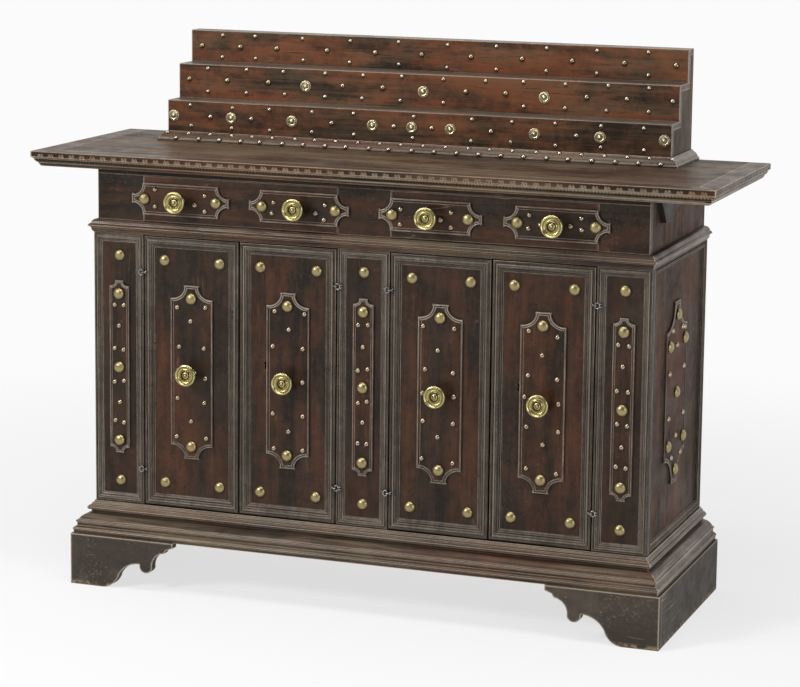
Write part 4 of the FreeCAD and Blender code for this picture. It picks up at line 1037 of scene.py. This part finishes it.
class SIDEBOARD_OT_small_studs(bpy.types.Operator):
    """Set the small studs on the fronts and sides"""

    bl_idname = "sideboard.small_studs"
    bl_label = "Small studs"

    def execute(self, context):
        brass = metal("Small stud brass", (0.4, 0.325, 0.225), 0.2, 0.3, (0.2, 0.15, 0.1), 0.05, 300.0)
        radius = sizes().small_stud / 2
        fields = {}
        for number in DOORS:
            fields[f"door_{number}"] = on_front(*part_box(f"door_{number}_cartouche"), DOOR_STUDS[number])
        plates = islands("drawer_left_cartouches") + islands("drawer_right_cartouches")
        for (low, high), points in zip(plates, DRAWER_STUDS):
            side = "left" if low.x < 0 else "right"
            fields.setdefault(f"drawer_{side}", []).extend(on_front(low, high, points))
        spots = fields["carcass"] = []
        for number, (low, high) in enumerate(islands("pilaster_cartouches")):
            for index, (spot, way, scale) in enumerate(on_front(low, high, PILASTER_STUDS)):
                chance = random.Random(number * 50 + index)
                jitter = Vector((chance.uniform(-1, 1), 0, chance.uniform(-3, 3))) * MM
                spots.append((spot + jitter, way, scale))
        for low, high in islands("side_cartouches"):
            middle = (low + high) / 2
            sign, face = (1, high.x) if middle.x > 0 else (-1, low.x)
            for y, z in SIDE_STUDS:
                spot = Vector((face - sign * STUD_SINK, middle.y + y * MM * sign, middle.z + z * MM))
                spots.append((spot, Vector((sign, 0, 0)), 1.0))
        for body, spots in fields.items():
            stud_field(f"{body}_small_studs", spots, radius, radius * 0.95, 16, body, brass)
        return {"FINISHED"}


class SIDEBOARD_OT_stand_studs(bpy.types.Operator):
    """Set the rows of studs and the rosettes on the stand"""

    bl_idname = "sideboard.stand_studs"
    bl_label = "Stand studs"

    def execute(self, context):
        size = sizes()
        low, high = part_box("stand_risers")
        half, bottom = (high[0] - low[0]) / 2, low[2]
        fronts = sorted({round(piece[0].y, 5) for piece in islands("stand_risers")})
        brass = metal("Stand stud brass", (0.33, 0.28, 0.18), 0.2, 0.4, (0.1, 0.075, 0.045), 0.05, 300.0, reach=0.008)
        silver = metal("Stand pins", (0.44, 0.38, 0.3), 0.2, 0.3, (0.16, 0.13, 0.1), 0.05, 300.0)
        medium, pins = [], []
        small, tiny = size.small_stud / size.medium_stud, size.pair_stud / size.medium_stud
        chance = random.Random(11)
        for step, (level, apart) in RISER_ROWS.items():

            def spot(share, up=0):
                return Vector((share * half, fronts[step - 1], bottom + (level + up) * MM))

            medium += [(spot(share), FRONT, 1.0) for share in STAND_MEDIUM[step]]
            pins += [(spot(share), FRONT, small) for share in STAND_SMALL[step]]
            for share in STAND_PAIRS[step]:
                for sign in (-1, 1):
                    if (step, share, sign) == MISSING_PIN:
                        continue
                    jitter = Vector((chance.uniform(-2, 2), 0, chance.uniform(-1.5, 1.5))) * MM
                    pins.append((spot(share, sign * apart) + jitter, FRONT, tiny))
        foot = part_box("stand_moulding")[0][2]
        for x, depth, level, outward in STAND_FOOT_ROWS:
            while x < STAND_FOOT_END:
                place = Vector(((x + chance.uniform(-3, 3)) * MM, fronts[0] - depth, foot + level))
                pins.append((place, Vector(outward).normalized(), tiny))
                x += STAND_FOOT_PITCH
        rise = size.medium_stud * size.stud_rise
        stud_field("stand_medium_studs", medium, size.medium_stud / 2, rise, 20, "carcass", brass)
        stud_field("stand_pins", pins, size.medium_stud / 2, rise, 16, "carcass", silver)
        spots, radius, rise = seats("stand_rosettes")
        model = turned_model("Rosette", ROSETTE, radius, rise, 60)
        for vertex in model.data.vertices:
            share = vertex.co.xy.length / radius
            wave = math.cos(12 * math.atan2(vertex.co.y, vertex.co.x))
            if share > 0.4:
                vertex.co.xy *= 1 + 0.015 * wave * share
                vertex.co.z *= 1 + 0.05 * wave * max(0, 1 - abs(share - 0.72) * 4)
        item = set_out(model, "stand_rosettes_cast", spots, 0.03)
        cast = metal("Rosette brass", (0.66, 0.58, 0.37), 0.3, 0.04, (0.15, 0.115, 0.06), 0.02, 300.0, reach=0.0022)
        complete(item, "carcass", cast, ["stand_rosettes"], angle=0.8)
        return {"FINISHED"}


class SIDEBOARD_OT_ironwork(bpy.types.Operator):
    """Bend the loop hinges and dress the locks and bolts"""

    bl_idname = "sideboard.ironwork"
    bl_label = "Ironwork"

    def execute(self, context):
        iron = metal("Hinge iron", colours().iron, 0.3, 0.6, (0.04, 0.035, 0.03), 0.6, 500.0)
        post_loops, post_legs = [], []
        joints = {joint["child"]: joint for joint in frame["joints"]}
        turn = [2 * math.pi * k / 20 for k in range(20)]
        for number in DOORS:
            axis_x, axis_y, _ = joints[f"door_{number}"]["pos_m"]
            side = 1 if number in (1, 3) else -1
            loops, legs = [], []

            def leg(first, course, lift, way):
                return [first + Vector((way * x, y, lift * z)) for x, y, z in course]

            for low, high in islands(f"door_{number}_hinge_eyes"):
                axis = Vector((axis_x, axis_y, (low.z + high.z) / 2))
                loops.append([axis + LEAF_EYE * Vector((math.cos(t), math.sin(t), 0)) for t in turn])
                legs += [leg(axis, LEAF_LEG, lift, side) for lift in (-0.0012, 0.0014)]
                centre = axis - Vector((side * 0.005, 0, 0))
                wide, tall = POST_LOOP
                post_loops.append([centre + Vector((wide * math.cos(t), 0, tall * math.sin(t))) for t in turn])
                for lift in (-0.0024, 0.0024):
                    post_legs.append(leg(centre + Vector((-side * 0.0046, 0, lift)), POST_LEG, lift, -side))
            self.wires(f"door_{number}_hinge_loops", loops, legs, f"door_{number}", iron, f"door_{number}_hinge_eyes")
        self.wires("post_hinge_loops", post_loops, post_legs, "carcass", iron, "hinge_eyes")
        for number in DOORS:
            dress(f"door_{number}_{'lock' if number in KEYHOLES else 'bolt'}", iron, 0.001)
        return {"FINISHED"}

    def wires(self, name, loops, legs, body, iron, replaced):
        wire = sizes().wire / 2
        round_parts = swept(name, [(path, [1.0] * len(path)) for path in loops], wire, True)
        bent = swept(f"{name}_legs", [(path, [0.9] * len(path)) for path in legs], wire, False)
        complete(joined([round_parts, bent], name), body, iron, [replaced], angle=1.2)


class SIDEBOARD_OT_edge_cuts(bpy.types.Operator):
    """Cut the pairs of gouges along the top's edge"""

    bl_idname = "sideboard.edge_cuts"
    bl_label = "Edge cuts"

    def execute(self, context):
        low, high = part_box("tabletop_moulding")
        pitch = sizes().gouge_pitch
        item = linked("tabletop_moulding_cut", frame["nodes"]["tabletop_moulding"].data.copy())
        pick([item])
        edit_all()
        bpy.ops.mesh.remove_doubles(threshold=1e-6)
        bpy.ops.object.mode_set(mode="OBJECT")
        material = wood(
            "Top border", around=(high[0], low[1]), red=0.8, tone=0.9, wear=0.9, gloss=0.3, gild=0.25, lines=0.8,
            right_highlight=0.3, top_highlight=0.08, rub=(0.38, 0.26, 0.14), sheen=0.16, radius=0.0045, nicks=True,
        )
        pale = wood("Gouges", "X", red=0.1, tone=12.0, wear=1.0, gloss=0.5, dust=0.9)
        paint(item, material, pale)
        chance, cutters = random.Random(4), []
        level = high[2] - sizes().gouge_drop
        model = begin("Gouge", "uv_sphere", segments=10, ring_count=6, radius=1)
        for axis, edge, sign in ((0, low[1], -1), (1, low[0], -1), (1, high[0], 1)):
            count = int((high[axis] - low[axis] - GOUGE_MARGIN) / pitch)
            for index in range(count + 1):
                along = (low[axis] + high[axis]) / 2 + (index - count / 2) * pitch
                for side in (-GOUGE_APART, GOUGE_APART):
                    spot = Vector((0, 0, level + chance.uniform(-GOUGE_WAVER, GOUGE_WAVER)))
                    spot[axis], spot[1 - axis] = along + side, edge + sign * GOUGE_PROUD
                    cutter = linked("Gouge", model.data.copy())
                    cutter.location = spot
                    cutter.scale.z = GOUGE_TALL
                    cutter.scale[axis], cutter.scale[1 - axis] = GOUGE_WIDE, GOUGE_DEEP
                    cutters.append(cutter)
        bpy.data.objects.remove(model)
        context.view_layer.update()
        cutter = joined(cutters, "Gouge")
        paint(cutter, material, pale)
        for face in cutter.data.polygons:
            face.material_index = 1
        cut_away(item, cutter, "Gouges")
        soften(item, sizes().edge_round * 0.6)
        complete(item, "carcass", None, ["tabletop_moulding"], angle=0.5)
        return {"FINISHED"}


# Lamps: name, place, what each is aimed at, size and power
LAMPS = (
    ("Key light", (-2.6, -3.6, 2.9), (0, 0, 0.6), (1.1, 1.0), 150),
    ("Fill light", (4.2, -2.8, 1.7), (0.2, 0, 0.6), (1.2, 1.8), 50),
    ("Top light", (0.1, -0.9, 3.3), (0, -0.2, 0.9), (2.6, 1.0), 55),
)
# The camera as fitted to the photo: millimetres, shares of the frame, metres, and degrees of yaw, pitch and roll
FOCAL_LENGTH = 120.19
LENS_SHIFT = (-0.0579, -0.1022)
CAMERA_PLACE = (2.2258, -5.9627, 1.8357)
CAMERA_TURN = (19.41, 9.16, 0.76)


class SIDEBOARD_OT_stage(bpy.types.Operator):
    """Set the floor, the light and the camera"""

    bl_idname = "sideboard.stage"
    bl_label = "Stage"

    def execute(self, context):
        bpy.ops.mesh.primitive_plane_add(size=60, location=(0, 0, 0))
        floor = context.object
        floor.name = "Pale floor"
        paper, tree, shader, place = new_material("Pale paper")
        for name, value in (("Base Color", (0.86, 0.86, 0.87, 1)), ("Roughness", 1.0), ("Specular IOR Level", 0.0)):
            shader.inputs[name].default_value = value
        far = put(tree, "ShaderNodeVectorMath", {0: place}, operation="LENGTH").outputs["Value"]
        far = ramp(tree, far, 0.9, 3.2)
        seen = put(tree, "ShaderNodeLightPath").outputs
        rays = maths(tree, "MAXIMUM", seen["Is Camera Ray"], seen["Is Glossy Ray"])
        rays = maths(tree, "MAXIMUM", rays, seen["Is Transmission Ray"])
        glow = put(tree, "ShaderNodeEmission", {"Strength": scaled(tree, far, 0.015, 0.95)})
        share = times(tree, rays, scaled(tree, far, 0.27, 0.73))
        both = put(tree, "ShaderNodeMixShader", {0: share, 1: shader.outputs[0], 2: glow.outputs[0]})
        tree.links.new(both.outputs[0], tree.nodes["Material Output"].inputs["Surface"])
        floor.data.materials.append(paper)
        world = bpy.data.worlds.new("Studio")
        context.scene.world = world
        world.use_nodes = True
        sky = world.node_tree
        way = sky.nodes.new("ShaderNodeTexCoord").outputs["Generated"]
        way = put(sky, "ShaderNodeSeparateXYZ", {"Vector": way}).outputs
        back = ramp(sky, way["Y"], -0.35, 0.25)
        seen = put(sky, "ShaderNodeLightPath").outputs
        mirrored = maths(sky, "MAXIMUM", seen["Is Glossy Ray"], seen["Is Transmission Ray"])
        white = maths(sky, "MAXIMUM", seen["Is Camera Ray"], times(sky, back, mirrored))
        light = maths(sky, "MAXIMUM", scaled(sky, back, 0.5, 0.12), times(sky, white, 0.97))
        sky.links.new(light, sky.nodes["Background"].inputs["Strength"])
        sky.nodes["Background"].inputs["Color"].default_value = (1, 1, 1, 1)
        for name, spot, aim, size, power in LAMPS:
            lamp = bpy.data.lights.new(name, "AREA")
            lamp.shape = "RECTANGLE"
            lamp.size, lamp.size_y = size
            lamp.energy = power
            item = linked(name, lamp)
            item.location = spot
            item.rotation_euler = (Vector(aim) - Vector(spot)).to_track_quat("-Z", "Y").to_euler()
        lens = bpy.data.cameras.new("Camera")
        lens.lens = FOCAL_LENGTH
        lens.shift_x, lens.shift_y = LENS_SHIFT
        lens.clip_end = 200
        camera = linked("Camera", lens)
        yaw, pitch, roll = (math.radians(angle) for angle in CAMERA_TURN)
        turn = Matrix.Rotation(yaw, 4, "Z") @ Matrix.Rotation(math.pi / 2 - pitch, 4, "X")
        camera.rotation_euler = (turn @ Matrix.Rotation(roll, 4, "Z")).to_euler()
        camera.location = CAMERA_PLACE
        context.scene.camera = camera
        context.scene.view_settings.view_transform = "Standard"
        return {"FINISHED"}


class SIDEBOARD_PT_panel(bpy.types.Panel):
    """The sideboard's pieces and sizes"""

    bl_idname = "SIDEBOARD_PT_panel"
    bl_label = "Studded sideboard"
    bl_space_type = "VIEW_3D"
    bl_region_type = "UI"
    bl_category = "Sideboard"

    def draw(self, context):
        for operator in OPERATORS:
            self.layout.operator(operator.bl_idname)
        for settings in (sizes(), colours()):
            column = self.layout.column(align=True)
            for key in type(settings).__annotations__:
                column.prop(settings, key)


OPERATORS = (
    SIDEBOARD_OT_wood,
    SIDEBOARD_OT_panels,
    SIDEBOARD_OT_cartouches,
    SIDEBOARD_OT_large_studs,
    SIDEBOARD_OT_knobs,
    SIDEBOARD_OT_small_studs,
    SIDEBOARD_OT_stand_studs,
    SIDEBOARD_OT_ironwork,
    SIDEBOARD_OT_edge_cuts,
    SIDEBOARD_OT_stage,
)
CLASSES = (SideboardSizes, SideboardColours, *OPERATORS, SIDEBOARD_PT_panel)


def register():
    for item in CLASSES:
        bpy.utils.register_class(item)
    bpy.types.Scene.sideboard_sizes = PointerProperty(type=SideboardSizes)
    bpy.types.Scene.sideboard_colours = PointerProperty(type=SideboardColours)


def unregister():
    del bpy.types.Scene.sideboard_colours
    del bpy.types.Scene.sideboard_sizes
    for item in reversed(CLASSES):
        bpy.utils.unregister_class(item)


def main():
    register()
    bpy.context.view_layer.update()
    for operator in OPERATORS:
        group, name = operator.bl_idname.split(".")
        getattr(getattr(bpy.ops, group), name)()


if __name__ == "__main__":
    main()
